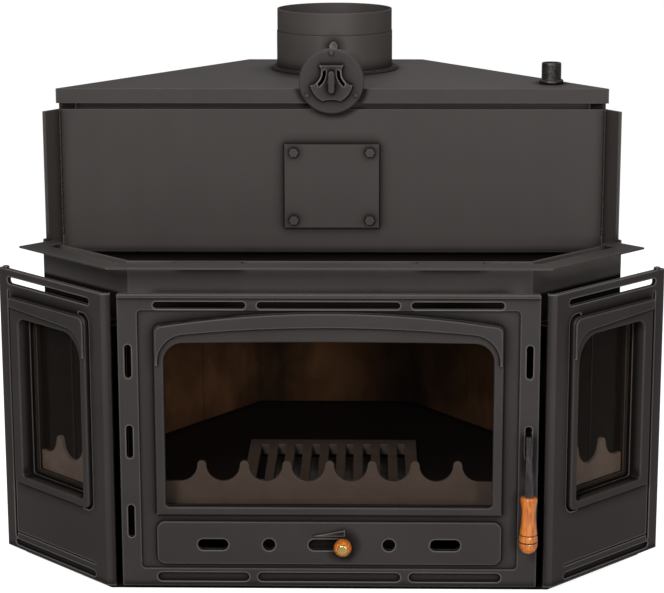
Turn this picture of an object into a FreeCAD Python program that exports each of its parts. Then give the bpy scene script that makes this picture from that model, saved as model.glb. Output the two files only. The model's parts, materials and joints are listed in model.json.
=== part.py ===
import FreeCAD, Part
import os
from math import atan, cos, degrees, radians, sin, sqrt

os.makedirs("parts", exist_ok=True)
V = FreeCAD.Vector
ROOT2 = sqrt(2.0)

# Fireplace insert for a corner, with a door, two slanted side windows and a water tank under the flue.
# All sizes are in millimetres. X runs to the right, Y runs to the back, Z runs up from the hearth.

# Facade
DOOR_LAP = 6.0
DOOR_HEIGHT = 468.0
FACADE_LIFT = 8.0
DOOR_FACE_Y = -330.0
DOOR_GAP = 10.0
CORNER_STRIP = 14.0
SIDE_RUN = 263.0
CAST_PLATE = 8.0
CAST_SOFT = 1.5

# Casing of flat sheets, six sided in plan
CASING_SETBACK = 104.0
CASING_FRONT_HALF = 316.0
CASING_SIDE_REACH = 155.0
CASING_BACK_HALF = 155.0
BACK_RUN = 0.75
CASING_SHEET = 4.0
CASING_RISE = 28.0
BASE_PLATE = 5.0
BASE_SETBACK = 12.0
BASE_SIDE_RUN = 160.0
WING_CUT = 5.6

# Rim around the top of the casing
RIM_REACH = 62.0
RIM_WIDTH = 35.0
RIM_SHEET = 3.0
RIM_END_CUT = 20.0
RIM_TAB = 26.0
TIE_OFFSET = 188.0
TIE_WIDTH = 100.0
TIE_LAP = 14.0

# Hood and water tank
HOOD_SETBACK = 290.0
HOOD_FOOT = 8.0
HOOD_DROP = 33.5
CROWN_DROP = 36.0
TANK_RECESS = 24.0
TANK_SHEET = 4.0
TANK_HEIGHT = 277.5
TANK_LIP = 27.0
TANK_OVERHANG = 1.0
TANK_FLANGE = 20.0

# Flue
FLUE_BACK = 118.3333
FLUE_RADIUS = 100.0
FLUE_WALL = 3.0
FLUE_HEIGHT = 103.5
SPIGOT_HEIGHT = 38.0
SPIGOT_STEP = 0.8
FLUE_RING_WIDTH = 7.0
FLUE_RING_HEIGHT = 5.0
SMOKE_TUBE_STEP = 7.0

# Flue damper
DAMPER_RISE = 49.5
DAMPER_GAP = 2.0
DAMPER_SHEET = 4.0
SPINDLE_RADIUS = 5.0
SPINDLE_INSET = 1.0
SPINDLE_NUT_WALL = 2.0
SPINDLE_NUT_HEIGHT = 3.0
CRANK_DROP = 22.0
CRANK_HEAD = 2.0
CRANK_EDGE = 1.0
CRANK_SHEET = 4.0
CRANK_STANDOFF = 6.0

# Draught regulator in front of the flue
REGULATOR_RISE = 14.5
REGULATOR_RADIUS = 52.5
REGULATOR_SHEET = 8.0
REGULATOR_STANDOFF = 14.0
REGULATOR_FLANGE = 10.0
REGULATOR_FLANGE_STEP = 1.0
REGULATOR_CAN_WALL = 3.0
REGULATOR_SCREW_INSET = 7.0
REGULATOR_SCREW_ANGLES = (90, 210, 330)
REGULATOR_SCREW_RADIUS = 2.0
REGULATOR_SCREW_HEAD = 4.0
REGULATOR_SCREW_DOME = 2.4
REGULATOR_SCREW_EDGE = 0.4
REGULATOR_PIVOT = 5.0
SHUTTER_RADIUS = 34.5
SHUTTER_SHEET = 5.0
SHUTTER_GAP = 0.3
SHUTTER_PIVOT_COVER = 0.5
SHUTTER_SCOOP_ANGLES = (22, 158)
SHUTTER_SCOOP_DEPTH = 15.0
SHUTTER_SCOOP_RADIUS = 21.5
SHUTTER_HEAD = 27.0
SHUTTER_FOOT_DEPTH = 5.5
SHUTTER_FOOT_RADIUS = 40.0
SHUTTER_SLOT_EDGE = 2.5
SHUTTER_SLOT_WIDTH = 5.5
SHUTTER_SLOT_REACH = 22.0
SHUTTER_GRIP_WIDTH = 11.0
SHUTTER_GRIP_LENGTH = 37.0
SHUTTER_GRIP_RISE = 9.0
DUCT_WIDTH = 70.0
DUCT_HEIGHT = 20.0
DUCT_WALL = 2.0

# Water pipes
PIPE_RADIUS = 16.6
PIPE_WALL = 3.0
PIPE_NECK = 0.6
PIPE_SOCKET_WALL = 3.4
PIPE_SOCKET_HEIGHT = 6.0
FLOW_INSET = 35.0
FLOW_SETBACK = 360.0
FLOW_HEIGHT = 34.0
RETURN_ALONG = 300.0
RETURN_RISE = 66.0
RETURN_LENGTH = 46.0

# Inspection cover on the hood
COVER_WIDTH = 155.0
COVER_HEIGHT = 139.0
COVER_RISE = 110.0
COVER_SHEET = 4.0
COVER_GASKET = 2.0
COVER_FRAME = 22.0
COVER_BOLT_SIDE = 15.5
COVER_BOLT_END = 13.5
BOLT_RADIUS = 4.0
BOLT_FLAT = 6.5
BOLT_HEAD = 5.3
BOLT_GRIP = 12.0

# Mouth frames that carry the door seal and the side windows
MOUTH_SIDE = 48.0
MOUTH_FOOT = 19.0
MOUTH_TOP = 37.0
MOUTH_PLATE = 5.0
MOUTH_DEPTH = 30.0
SIDE_MOUTH_NEAR_LAP = 14.0
SIDE_MOUTH_FAR_LAP = 6.0
SIDE_MOUTH_FOOT_LAP = 7.5
SIDE_MOUTH_TOP_LAP = 2.0
SIDE_MOUTH_FLANGE = 6.0

# Firebox
HEARTH_RISE = 95.0
HEARTH_PLATE = 6.0
HEARTH_FRONT = 45.0
GRATE_WIDTH = 260.0
GRATE_LENGTH = 220.0
GRATE_MIDDLE_Y = -60.0
GRATE_FLANGE = 12.0
GRATE_FLANGE_HEIGHT = 4.0
GRATE_DEPTH = 14.0
GRATE_FIT = 1.0
GRATE_BARS = 9
GRATE_SLOT = 14.0
GRATE_END_BAR = 14.5
BRICK_DEPTH = 30.0
BRICK_HEIGHT = 292.0
BRICK_JOINT = 2.0
BRICKS_PER_WALL = 3
BAFFLE_SHEET = 10.0
BAFFLE_SETBACK = 340.0
BAFFLE_EDGE = 2.0
ASH_PAN_WIDTH = 320.0
ASH_PAN_LENGTH = 342.0
ASH_PAN_HEIGHT = 64.0
ASH_PAN_SHEET = 2.0
ASH_PAN_SETBACK = 62.0
ASH_PAN_REST = 22.0

# Log guards
GUARD_SHEET = 6.0
GUARD_GAP = 2.0
GUARD_SETBACK = 60.0
GUARD_PITCH = 67.0
GUARD_PEAKS = 7
GUARD_HEIGHT = 37.5
GUARD_TIP = 14.0
SIDE_GUARD_INSET = 5.0
SIDE_GUARD_PEAK = 92.0
SIDE_GUARD_LIFT = 18.0

# Door relief
PANEL_SIDE = 31.0
PANEL_FOOT = 29.5
PANEL_TOP = 26.0
PANEL_CORNER = 6.0
PANEL_DEPTH = 2.5
WINDOW_SIDE = 70.0
WINDOW_FOOT = 130.5
WINDOW_TOP = 74.5
WINDOW_TOP_CORNER = 30.0
WINDOW_LOW_CORNER = 6.0
WINDOW_ARCH = 2.5
FRAME_SIDE = 15.0
FRAME_FOOT = 13.5
FRAME_TOP = 25.5
FRAME_ARCH = 22.0
FRAME_CORNER = 11.0
FRAME_RISE = 3.5
BROW_RISE = 6.5
BROW_MARGIN = 2.0
BROW_LEG = 4.0
BROW_LEG_DROP = 37.0
BROW_KNEE = 44.0
BROW_LIFT = 8.0
BROW_ARCH = 15.0
TOP_BEAD = 6.5
TOP_BEAD_RISE = 3.0
VENT_SLOT_DROP = 12.0
VENT_SLOT_HEIGHT = 11.5
VENT_SLOT_MIDDLE_HALF = 109.0
VENT_SLOT_BAR = 17.0
STILE_SLOT_SIDE = 15.5
STILE_SLOT_WIDTH = 10.6
STILE_SLOT_HEIGHT = 53.0
STILE_SLOT_MIDDLE = 234.0
STILE_SLOT_PITCH = 128.0
POCKET_RISE = 8.0
POCKET_HEIGHT = 14.5
POCKET_DEPTH = 4.0
POCKET_MIDDLE_HALF = 111.0
POCKET_BAR = 13.0

# Air inlet in the foot of the door
AIR_PANEL_FOOT = 36.5
AIR_PANEL_GAP = 11.0
AIR_PANEL_CORNER = 13.0
AIR_PANEL_RISE = 1.5
AIR_HOLE_RISE = 32.0
AIR_HOLE_HEIGHT = 18.5
AIR_OBLONG_SIDE = 142.0
AIR_OBLONG_LENGTH = 48.0
AIR_ROUND_X = 93.0
AIR_ROUND_RADIUS = 10.0
AIR_SLOT_SPARE = 6.5
POINTER_HALF = 25.0
POINTER_LIFT = 14.5
POINTER_HEIGHT = 10.0
POINTER_RISE = 1.5
SLIDE_TRAVEL = 43.0
SLIDE_END = 12.0
SLIDE_EDGE = 5.75
SLIDE_SHEET = 3.0
SLIDE_GAP = 0.3
SLIDE_LAP = 3.5
GUIDE_END = 3.0
GUIDE_FOOT = 7.0
GUIDE_LIP = 2.0
KNOB_RADIUS = 14.0
KNOB_BACK = 8.7
KNOB_FRONT = 9.8
KNOB_BELLY = 11.5
KNOB_LENGTH = 20.0
KNOB_GAP = 2.0
KNOB_STEM = 4.0
KNOB_CAP_RADIUS = 8.5
KNOB_CAP_HEIGHT = 3.0
KNOB_CAP_ROUND = 2.5

# Door glass, seal and hinge
GLASS_SHEET = 4.0
GLASS_TAPE = 2.0
GLASS_LAP = 10.0
TAPE_WIDTH = 7.0
CLIP_INSET = 72.0
CLIP_BOSS_RADIUS = 6.0
CLIP_BOSS_GAP = 3.0
CLIP_WIDTH = 14.0
CLIP_SHEET = 2.0
CLIP_HEAD_RADIUS = 4.5
CLIP_HEAD = 3.0
SEAL_WIDTH = 10.0
SEAL_RIB = 12.0
SEAL_RIB_WIDTH = 14.0
SEAL_GAP = 0.3
HINGE_SIDE = 18.0
HINGE_DEPTH = 16.0
HINGE_PIN = 4.0
RUNNING_FIT = 0.06
HINGE_LUG = 9.0
HINGE_LUG_HEIGHT = 25.0
HINGE_LUG_FOOT = 10.5
HINGE_ARM = 9.5
HINGE_ARM_GAP = 0.5
HINGE_ARM_LEFT = 2.0
HINGE_ARM_RIGHT = 12.0
HINGE_BOSS = 6.5

# Latch lever with its wooden grip
LATCH_LIFT = 3.5
LATCH_DEPTH = 14.0
LATCH_PIN = 4.0
LATCH_HUB = 9.5
LATCH_SHEET = 9.0
LATCH_NECK = 15.0
LATCH_TAIL = 50.0
LATCH_TAIL_DROP = 4.0
LATCH_EAR = 6.0
LATCH_EAR_GAP = 0.5
LATCH_EAR_REACH = 9.0
KEEPER_GAP = 0.6
KEEPER_HEIGHT = 11.0
KEEPER_WIDTH = 14.0
KEEPER_FRONT = 38.0
SHANK_TOP_WIDTH = 7.0
SHANK_LOW_WIDTH = 13.0
SHANK_THICK = 9.0
SHANK_DROP = 2.0
GRIP_STANDOFF = 30.0
GRIP_DROP = 80.0
GRIP_LENGTH = 90.0
GRIP_RADIUS = 14.6
GRIP_WAIST = 11.0
GRIP_TOP_RADIUS = 12.3
GRIP_END_RADIUS = 5.0
GRIP_HEEL_RADIUS = 11.4
GRIP_HEEL_RISE = 5.0
GRIP_SHOULDER_RADIUS = 13.2
GRIP_SHOULDER_DROP = 5.0
GRIP_WAIST_DROP = 29.0
GRIP_BELLY_RISE = 19.0
TANG_RADIUS = 4.0
TANG_LENGTH = 60.0

# Relief of the side frames, measured along the slanted face from its near corner
SIDE_WINDOW_NEAR = 50.0
SIDE_WINDOW_FAR = 209.0
SIDE_WINDOW_NEAR_CORNER = 42.0
SIDE_WINDOW_FAR_CORNER = 15.0
SIDE_PANEL_NEAR_EDGE = 15.0
SIDE_PANEL_FAR_EDGE = 22.0
SIDE_PANEL_TOP = 33.0
SIDE_PANEL_CORNER = 12.0
SIDE_PANEL_RISE = 6.0
SIDE_TRENCH_WIDTH = 4.0
SIDE_TRENCH_DEPTH = 4.5
SIDE_TRENCH_RUN = 26.0
SIDE_BROW_RISE = 9.0
SIDE_BROW_LEG_DROP = 33.0
SIDE_BROW_KNEE = 38.0
SIDE_BROW_LIFT = 7.0
SIDE_BROW_SLOPE = 8.5
SIDE_REVEAL = 18.0
SIDE_REVEAL_WALL = 6.0
SIDE_TAPE = 1.0
SIDE_SLOT_NEAR = 29.0
SIDE_SLOT_FAR_EDGE = 21.0
SIDE_GROOVE_WIDTH = 6.0
SIDE_GROOVE_DEPTH = 5.0
SIDE_GROOVE_FOOT = 19.0
SIDE_GROOVE_TOP = 33.0
SIDE_LINE_RISE = 27.0
SIDE_LINE_HEIGHT = 3.0
SIDE_POCKET_RISE = 5.5
SIDE_POCKET_HEIGHT = 10.5
SIDE_LUG_FAR = 10.0
SIDE_LUG_WIDTH = 8.0
SIDE_LUG_HEIGHT = 4.0
SIDE_LUG_INSET = 1.0
SIDE_BOLT_SIDE = 20.0
SIDE_EAR = 10.0
SIDE_BOSS = 8.0
SIDE_BOSS_GAP = 1.0
SIDE_BOLT_GRIP = 18.0

# Places worked out from the sizes above: facade and door
DOOR_HALF = CASING_FRONT_HALF + DOOR_LAP
FACADE_HIGH = FACADE_LIFT + DOOR_HEIGHT
NEAR_CORNER = DOOR_HALF + DOOR_GAP + CORNER_STRIP
PANEL_HALF = DOOR_HALF - PANEL_SIDE
PANEL_LOW = FACADE_LIFT + PANEL_FOOT
PANEL_HIGH = FACADE_HIGH - PANEL_TOP
WINDOW_HALF = DOOR_HALF - WINDOW_SIDE
WINDOW_LOW = FACADE_LIFT + WINDOW_FOOT
WINDOW_HIGH = FACADE_HIGH - WINDOW_TOP
FRAME_HALF = WINDOW_HALF + FRAME_SIDE
FRAME_LOW = WINDOW_LOW - FRAME_FOOT
FRAME_SHOULDER = WINDOW_HIGH + FRAME_TOP
FRAME_CROWN = FRAME_SHOULDER + FRAME_ARCH
BROW_FOOT = WINDOW_HIGH - BROW_LEG_DROP
BROW_SHOULDER = WINDOW_HIGH + BROW_LIFT
BROW_CROWN = BROW_SHOULDER + BROW_ARCH
VENT_SLOT_HIGH = FACADE_HIGH - VENT_SLOT_DROP
VENT_SLOT_LOW = VENT_SLOT_HIGH - VENT_SLOT_HEIGHT
VENT_SLOT_INNER = VENT_SLOT_MIDDLE_HALF + VENT_SLOT_BAR
STILE_SLOT_X = DOOR_HALF - STILE_SLOT_SIDE
STILE_SLOT_LEVEL = FACADE_LIFT + STILE_SLOT_MIDDLE
POCKET_LOW = FACADE_LIFT + POCKET_RISE
POCKET_HIGH = POCKET_LOW + POCKET_HEIGHT
POCKET_INNER = POCKET_MIDDLE_HALF + POCKET_BAR
AIR_PANEL_LOW = FACADE_LIFT + AIR_PANEL_FOOT
AIR_PANEL_HIGH = FRAME_LOW - AIR_PANEL_GAP
AIR_LEVEL = AIR_PANEL_LOW + AIR_HOLE_RISE
POINTER_LOW = AIR_LEVEL + POINTER_LIFT
POINTER_HIGH = POINTER_LOW + POINTER_HEIGHT
KNOB_X = SLIDE_TRAVEL / 2
AIR_SLOT_HALF = KNOB_X + KNOB_STEM + AIR_SLOT_SPARE
AIR_OBLONG_X = DOOR_HALF - AIR_OBLONG_SIDE
SLIDE_HALF = AIR_OBLONG_X + AIR_OBLONG_LENGTH / 2 + SLIDE_END
SLIDE_HEIGHT = AIR_HOLE_HEIGHT + 2 * SLIDE_EDGE
GUIDE_HALF = SLIDE_HALF + SLIDE_TRAVEL + GUIDE_END
GLASS_BACK = CAST_PLATE + GLASS_TAPE + GLASS_SHEET
CLIP_OFFSET = WINDOW_HALF - CLIP_INSET
CLIP_BOSS_OUT = CLIP_BOSS_RADIUS + CLIP_BOSS_GAP
LATCH_LEVEL = STILE_SLOT_LEVEL + LATCH_LIFT
GRIP_TOP = LATCH_LEVEL - GRIP_DROP

# Mouth and firebox
MOUTH_HALF = DOOR_HALF - MOUTH_SIDE
MOUTH_LOW = FACADE_LIFT + MOUTH_FOOT
MOUTH_HIGH = FACADE_HIGH - MOUTH_TOP
HINGE_X = HINGE_SIDE - DOOR_HALF
HINGE_LUG_LEVELS = (MOUTH_LOW + HINGE_LUG_FOOT, MOUTH_HIGH - HINGE_LUG_HEIGHT)
HEARTH_LEVEL = MOUTH_LOW + HEARTH_RISE
BRICK_TOP = HEARTH_LEVEL + BRICK_HEIGHT
GUARD_VALLEY = HEARTH_LEVEL + GUARD_HEIGHT
GUARD_PEAK = GUARD_VALLEY + GUARD_PITCH / 2

# Casing, tank and flue
CASING_FRONT_Y = DOOR_FACE_Y + CASING_SETBACK
CASING_SIDE_LINE = CASING_FRONT_Y - CASING_FRONT_HALF
TIP_X = CASING_FRONT_HALF + CASING_SIDE_REACH
TIP_Y = CASING_FRONT_Y + CASING_SIDE_REACH
CASING_DIAGONAL = TIP_X + TIP_Y
BACK_STRETCH = sqrt(1.0 + BACK_RUN * BACK_RUN)
BACK_LINE = TIP_X + BACK_RUN * TIP_Y
CASING_BACK_Y = (BACK_LINE - CASING_BACK_HALF) / BACK_RUN
CASING_TOP = FACADE_HIGH + CASING_RISE
CROWN_LEVEL = CASING_TOP - CROWN_DROP
CROWN_TOP = CROWN_LEVEL + TANK_SHEET
TANK_TOP = CROWN_TOP + TANK_HEIGHT
HOOD_Y = DOOR_FACE_Y + HOOD_SETBACK
HOOD_LOW = CROWN_TOP + HOOD_FOOT
HOOD_HIGH = TANK_TOP - HOOD_DROP
TANK_Y = HOOD_Y + CASING_SHEET + TANK_RECESS
COVER_LEVEL = HOOD_LOW + COVER_RISE
COVER_BOLT_X = COVER_WIDTH / 2 - COVER_BOLT_SIDE
COVER_BOLT_Z = COVER_HEIGHT / 2 - COVER_BOLT_END
FLUE_Y = CASING_BACK_Y - FLUE_BACK
FLUE_TOP = TANK_TOP + FLUE_HEIGHT
SMOKE_TUBE_RADIUS = FLUE_RADIUS - SMOKE_TUBE_STEP
DAMPER_LEVEL = TANK_TOP + DAMPER_RISE
DAMPER_RADIUS = FLUE_RADIUS - FLUE_WALL - DAMPER_GAP
CRANK_WIDTH = 2 * (SPINDLE_RADIUS + CRANK_EDGE)
REGULATOR_Y = HOOD_Y - REGULATOR_STANDOFF
REGULATOR_LEVEL = TANK_TOP + REGULATOR_RISE
REGULATOR_CAN_RADIUS = REGULATOR_RADIUS - REGULATOR_FLANGE
REGULATOR_SCREW_CIRCLE = REGULATOR_RADIUS - REGULATOR_SCREW_INSET
REGULATOR_SCREW_RIM = REGULATOR_SCREW_DOME - REGULATOR_SCREW_EDGE
SHUTTER_SCOOP_CIRCLE = SHUTTER_RADIUS - SHUTTER_SCOOP_DEPTH + SHUTTER_SCOOP_RADIUS
SHUTTER_FOOT_CIRCLE = SHUTTER_RADIUS - SHUTTER_FOOT_DEPTH + SHUTTER_FOOT_RADIUS
PIPE_BORE = PIPE_RADIUS - PIPE_WALL
PIPE_SOCKET = PIPE_RADIUS + PIPE_SOCKET_WALL
FLOW_Y = DOOR_FACE_Y + FLOW_SETBACK
FLOW_X = BACK_LINE - BACK_RUN * FLOW_Y - FLOW_INSET
RETURN_LEVEL = CROWN_TOP + RETURN_RISE

# Side frames
SIDE_DEPTH = (CASING_SIDE_LINE - DOOR_FACE_Y + NEAR_CORNER) / ROOT2
SIDE_PANEL_NEAR = SIDE_WINDOW_NEAR - SIDE_PANEL_NEAR_EDGE
SIDE_PANEL_FAR = SIDE_WINDOW_FAR + SIDE_PANEL_FAR_EDGE
SIDE_PANEL_HIGH = WINDOW_HIGH + SIDE_PANEL_TOP
SIDE_BROW_FOOT = WINDOW_HIGH - SIDE_BROW_LEG_DROP
SIDE_BROW_BEND = WINDOW_HIGH + SIDE_BROW_LIFT
SIDE_BROW_END = SIDE_BROW_BEND + SIDE_BROW_SLOPE
SIDE_SLOT_FAR = SIDE_RUN - SIDE_SLOT_FAR_EDGE
SIDE_GROOVE_LOW = FACADE_LIFT + SIDE_GROOVE_FOOT
SIDE_GROOVE_HIGH = FACADE_HIGH - SIDE_GROOVE_TOP
SIDE_LINE_LEVEL = FACADE_LIFT + SIDE_LINE_RISE
SIDE_POCKET_LOW = FACADE_LIFT + SIDE_POCKET_RISE
SIDE_POCKET_HIGH = SIDE_POCKET_LOW + SIDE_POCKET_HEIGHT
SIDE_MOUTH_NEAR = SIDE_WINDOW_NEAR + SIDE_MOUTH_NEAR_LAP
SIDE_MOUTH_FAR = SIDE_WINDOW_FAR - SIDE_MOUTH_FAR_LAP
SIDE_MOUTH_LOW = WINDOW_LOW + SIDE_MOUTH_FOOT_LAP
SIDE_MOUTH_HIGH = WINDOW_HIGH - SIDE_MOUTH_TOP_LAP
SIDE_GLASS_FRONT = SIDE_REVEAL + SIDE_TAPE
SIDE_GLASS_BACK = SIDE_GLASS_FRONT + GLASS_SHEET
SIDE_MOUTH_FRONT = SIDE_GLASS_BACK + GLASS_TAPE
SIDE_GUARD_DEPTH = SIDE_MOUTH_FRONT + SIDE_GUARD_INSET
SIDE_RING_LOW = WINDOW_LOW - SIDE_REVEAL_WALL
SIDE_RING_HIGH = WINDOW_HIGH + SIDE_REVEAL_WALL
SIDE_RING_NEAR = SIDE_WINDOW_NEAR - SIDE_REVEAL_WALL
SIDE_RING_FAR = SIDE_WINDOW_FAR + SIDE_REVEAL_WALL
SIDE_BOLT_NEAR = SIDE_MOUTH_NEAR + SIDE_BOLT_SIDE
SIDE_BOLT_FAR = SIDE_MOUTH_FAR - SIDE_BOLT_SIDE
SIDE_BOLT_LOW = SIDE_RING_LOW - SIDE_BOSS - SIDE_BOSS_GAP
SIDE_BOLT_HIGH = SIDE_RING_HIGH + SIDE_BOSS + SIDE_BOSS_GAP

# Sides of the casing plan, counted from the front right corner round to the front left one
RIGHT_SIDE, RIGHT_BACK, BACK, LEFT_BACK, LEFT_SIDE, FRONT = range(6)
# Sides of the hood plan in the same order
HOOD_RIGHT, HOOD_BACK, HOOD_LEFT, HOOD_FRONT = range(4)


def prism(points, low, high):
    """Upright block over a plan outline."""
    corners = [V(x, y, low) for x, y in points]
    return Part.Face(Part.makePolygon(corners + corners[:1])).extrude(V(0, 0, high - low))


def block(left, right, front, back, low, high):
    """Square block between six planes."""
    return Part.makeBox(right - left, back - front, high - low, V(left, front, low))


def front_face(start, *steps):
    """Flat outline seen from the front; a step is a point, or a pair of points for an arc."""
    edges = []
    here = V(start[0], 0, start[1])
    for step in steps:
        curved = isinstance(step[0], tuple)
        end = step[1] if curved else step
        there = V(end[0], 0, end[1])
        if curved:
            through = V(step[0][0], 0, step[0][1])
            edges.append(Part.Arc(here, through, there).toShape())
        else:
            edges.append(Part.makeLine(here, there))
        here = there
    return Part.Face(Part.Wire(edges))


def rounded_face(left, right, low, high, radii):
    """Rectangle seen from the front, radii given from the low left corner round to the high left one."""
    inset = 1.0 - sqrt(0.5)
    a, b, c, d = radii
    return front_face(
        (left + a, low),
        (right - b, low),
        ((right - b * inset, low + b * inset), (right, low + b)),
        (right, high - c),
        ((right - c * inset, high - c * inset), (right - c, high)),
        (left + d, high),
        ((left + d * inset, high - d * inset), (left, high - d)),
        (left, low + a),
        ((left + a * inset, low + a * inset), (left + a, low)),
    )


def slab(face, front, back):
    """Front outline made solid between two depths."""
    moved = face.translated(V(0, front, 0))
    return moved.extrude(V(0, back - front, 0))


def rounded_slab(left, right, low, high, radius, front, back):
    """Slab with four equal corners."""
    return slab(rounded_face(left, right, low, high, [radius] * 4), front, back)


def oblong(left, right, low, high, front, back):
    """Slab with round ends, for slots."""
    radius = 0.499 * min(right - left, high - low)
    return rounded_slab(left, right, low, high, radius, front, back)


def ring_slab(left, right, low, high, wall, front, back):
    """Square frame of even wall width around an opening."""
    outer = block(left - wall, right + wall, front, back, low - wall, high + wall)
    return outer.cut(block(left, right, front, back, low, high))


def corner_rounded(solid, x, z, radius):
    """Round one corner edge that runs from front to back."""
    edges = []
    for edge in solid.Edges:
        if all(abs(v.X - x) < 1e-6 and abs(v.Z - z) < 1e-6 for v in edge.Vertexes):
            edges.append(edge)
    return solid.makeFillet(radius, edges)


def arched_slab(half, low, shoulder, crown, radius, front, back):
    """Slab with an arched top and two rounded upper corners."""
    face = front_face(
        (-half, low),
        (half, low),
        (half, shoulder),
        ((0, crown), (-half, shoulder)),
        (-half, low),
    )
    solid = corner_rounded(slab(face, front, back), half, shoulder, radius)
    return corner_rounded(solid, -half, shoulder, radius)


def softened(solid, depth, radius):
    """Round the edges that lie in one front plane."""
    edges = [e for e in solid.Edges if all(abs(v.Y - depth) < 1e-6 for v in e.Vertexes)]
    return solid.makeFillet(radius, edges)


def round_bar(radius, start, along):
    """Round bar from a start point along a vector."""
    return Part.makeCylinder(radius, along.Length, start, along)


def turned(profile, middle, axis):
    """Lathe shape from points of radius and distance along the axis."""
    corners = [V(radius, 0, along) for radius, along in profile]
    shape = Part.Face(Part.makePolygon(corners + corners[:1])).revolve(V(0, 0, 0), V(0, 0, 1), 360)
    shape.Placement = FreeCAD.Placement(middle, FreeCAD.Rotation(V(0, 0, 1), axis))
    return shape


def hex_bolt(place, outward, grip):
    """Hexagon bolt with its head on a face and its shank behind it."""
    corners = [V(BOLT_FLAT * cos(radians(a)), BOLT_FLAT * sin(radians(a)), 0) for a in range(0, 420, 60)]
    wide = 1.0 / cos(radians(30))
    head = Part.Face(Part.makePolygon([c * wide for c in corners])).extrude(V(0, 0, BOLT_HEAD))
    shank = Part.makeCylinder(BOLT_RADIUS, grip, V(0, 0, -grip))
    bolt = head.fuse(shank)
    bolt.Placement = FreeCAD.Placement(place, FreeCAD.Rotation(V(0, 0, 1), outward))
    return bolt


def joined(solids):
    """One solid from touching pieces."""
    return solids[0].multiFuse(solids[1:]).removeSplitter()


def mirrored(shape):
    """Copy on the other side of the middle plane."""
    return shape.mirror(V(0, 0, 0), V(1, 0, 0))


def at_door(shape):
    """Move a shape drawn with the door face at depth zero to its place."""
    return shape.translated(V(0, DOOR_FACE_Y, 0))


def on_side(shape):
    """Move a shape drawn along the slanted right face to its place."""
    placed = shape.copy()
    placed.rotate(V(0, 0, 0), V(0, 0, 1), 45)
    placed.translate(V(NEAR_CORNER, DOOR_FACE_Y, 0))
    return placed


def on_back(shape):
    """Move a shape drawn along the slanted right back wall to its place."""
    placed = shape.copy()
    placed.rotate(V(0, 0, 0), V(0, 0, 1), 90 + degrees(atan(BACK_RUN)))
    placed.translate(V(TIP_X, TIP_Y, 0))
    return placed


def casing_outline(inset):
    """Plan of the casing moved inward, from the front right corner round to the front left one."""
    front = CASING_FRONT_Y + inset
    side = CASING_SIDE_LINE + inset * ROOT2
    slant = BACK_LINE - inset * BACK_STRETCH
    back = CASING_BACK_Y - inset
    tip = (slant + side) / (1.0 + BACK_RUN)
    right = [
        (front - side, front),
        (tip - side, tip),
        (slant - BACK_RUN * back, back),
    ]
    return right + [(-x, y) for x, y in reversed(right)]


def hood_outline(front, inset):
    """Plan of the hood behind a front line, moved inward from the casing on the other sides."""
    slant = BACK_LINE - inset * BACK_STRETCH
    back = CASING_BACK_Y - inset
    right = [(slant - BACK_RUN * front, front), (slant - BACK_RUN * back, back)]
    return right + [(-x, y) for x, y in reversed(right)]


def wall_between(outer, inner, corner, low, high):
    """Mitred wall along one side of two plan outlines."""
    after = (corner + 1) % len(outer)
    return prism([outer[corner], outer[after], inner[after], inner[corner]], low, high)


def casing_wall(corner, high):
    """One sheet of the casing."""
    return wall_between(casing_outline(0), casing_outline(CASING_SHEET), corner, BASE_PLATE, high)


def casing_back_wall(corner):
    """Slanted back sheet, lower in front of the tank and cut short above the rim."""
    wall = casing_wall(corner, TANK_TOP - TANK_SHEET)
    tank_front = TANK_Y - TANK_LIP + TANK_SHEET
    rim = CASING_TOP + RIM_SHEET
    step = block(-2 * TIP_X, 2 * TIP_X, CASING_FRONT_Y, tank_front, HOOD_HIGH, TANK_TOP)
    wing = block(-2 * TIP_X, 2 * TIP_X, CASING_FRONT_Y, TIP_Y + WING_CUT, rim, TANK_TOP)
    return wall.cut([step, wing])


def base_plate():
    """Floor plate under the casing and the facade."""
    front = DOOR_FACE_Y + BASE_SETBACK
    near = NEAR_CORNER + BASE_SETBACK * (1.0 - ROOT2)
    right = [(near, front), (near + BASE_SIDE_RUN, front + BASE_SIDE_RUN)] + casing_outline(0)[1:3]
    return prism(right + [(-x, y) for x, y in reversed(right)], 0, BASE_PLATE)


def side_point(inset, end):
    """Plan point on the right side line where X and Y add up to a given end."""
    side = CASING_SIDE_LINE + inset * ROOT2
    return ((end - side) / 2, (end + side) / 2)


def side_mouth_opening():
    """Space through the right side window frame and the casing wall behind it."""
    return on_side(
        block(
            SIDE_MOUTH_NEAR,
            SIDE_MOUTH_FAR,
            SIDE_MOUTH_FRONT,
            SIDE_DEPTH + 2 * CASING_SHEET,
            SIDE_MOUTH_LOW,
            SIDE_MOUTH_HIGH,
        )
    )


def casing_front():
    mouth = block(
        -MOUTH_HALF,
        MOUTH_HALF,
        CASING_FRONT_Y,
        CASING_FRONT_Y + CASING_SHEET,
        MOUTH_LOW,
        MOUTH_HIGH,
    )
    return casing_wall(FRONT, CASING_TOP).cut(mouth)


def casing_side():
    return casing_wall(RIGHT_SIDE, CASING_TOP).cut(side_mouth_opening())


def return_hole():
    """Hole for the return pipe in the left back wall."""
    hole = round_bar(PIPE_RADIUS, V(RETURN_ALONG, 0, RETURN_LEVEL), V(0, CASING_SHEET, 0))
    return mirrored(on_back(hole))


def rim_front():
    outer = casing_outline(-RIM_REACH)
    inner = casing_outline(RIM_WIDTH - RIM_REACH)
    strip = wall_between(outer, inner, FRONT, CASING_TOP, CASING_TOP + RIM_SHEET)
    pieces = [strip]
    for middle in (-TIE_OFFSET, TIE_OFFSET):
        tie = block(
            middle - TIE_WIDTH / 2,
            middle + TIE_WIDTH / 2,
            inner[0][1] - TIE_LAP,
            CASING_FRONT_Y,
            CASING_TOP - RIM_SHEET,
            CASING_TOP,
        )
        pieces.append(tie)
    return joined(pieces)


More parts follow.
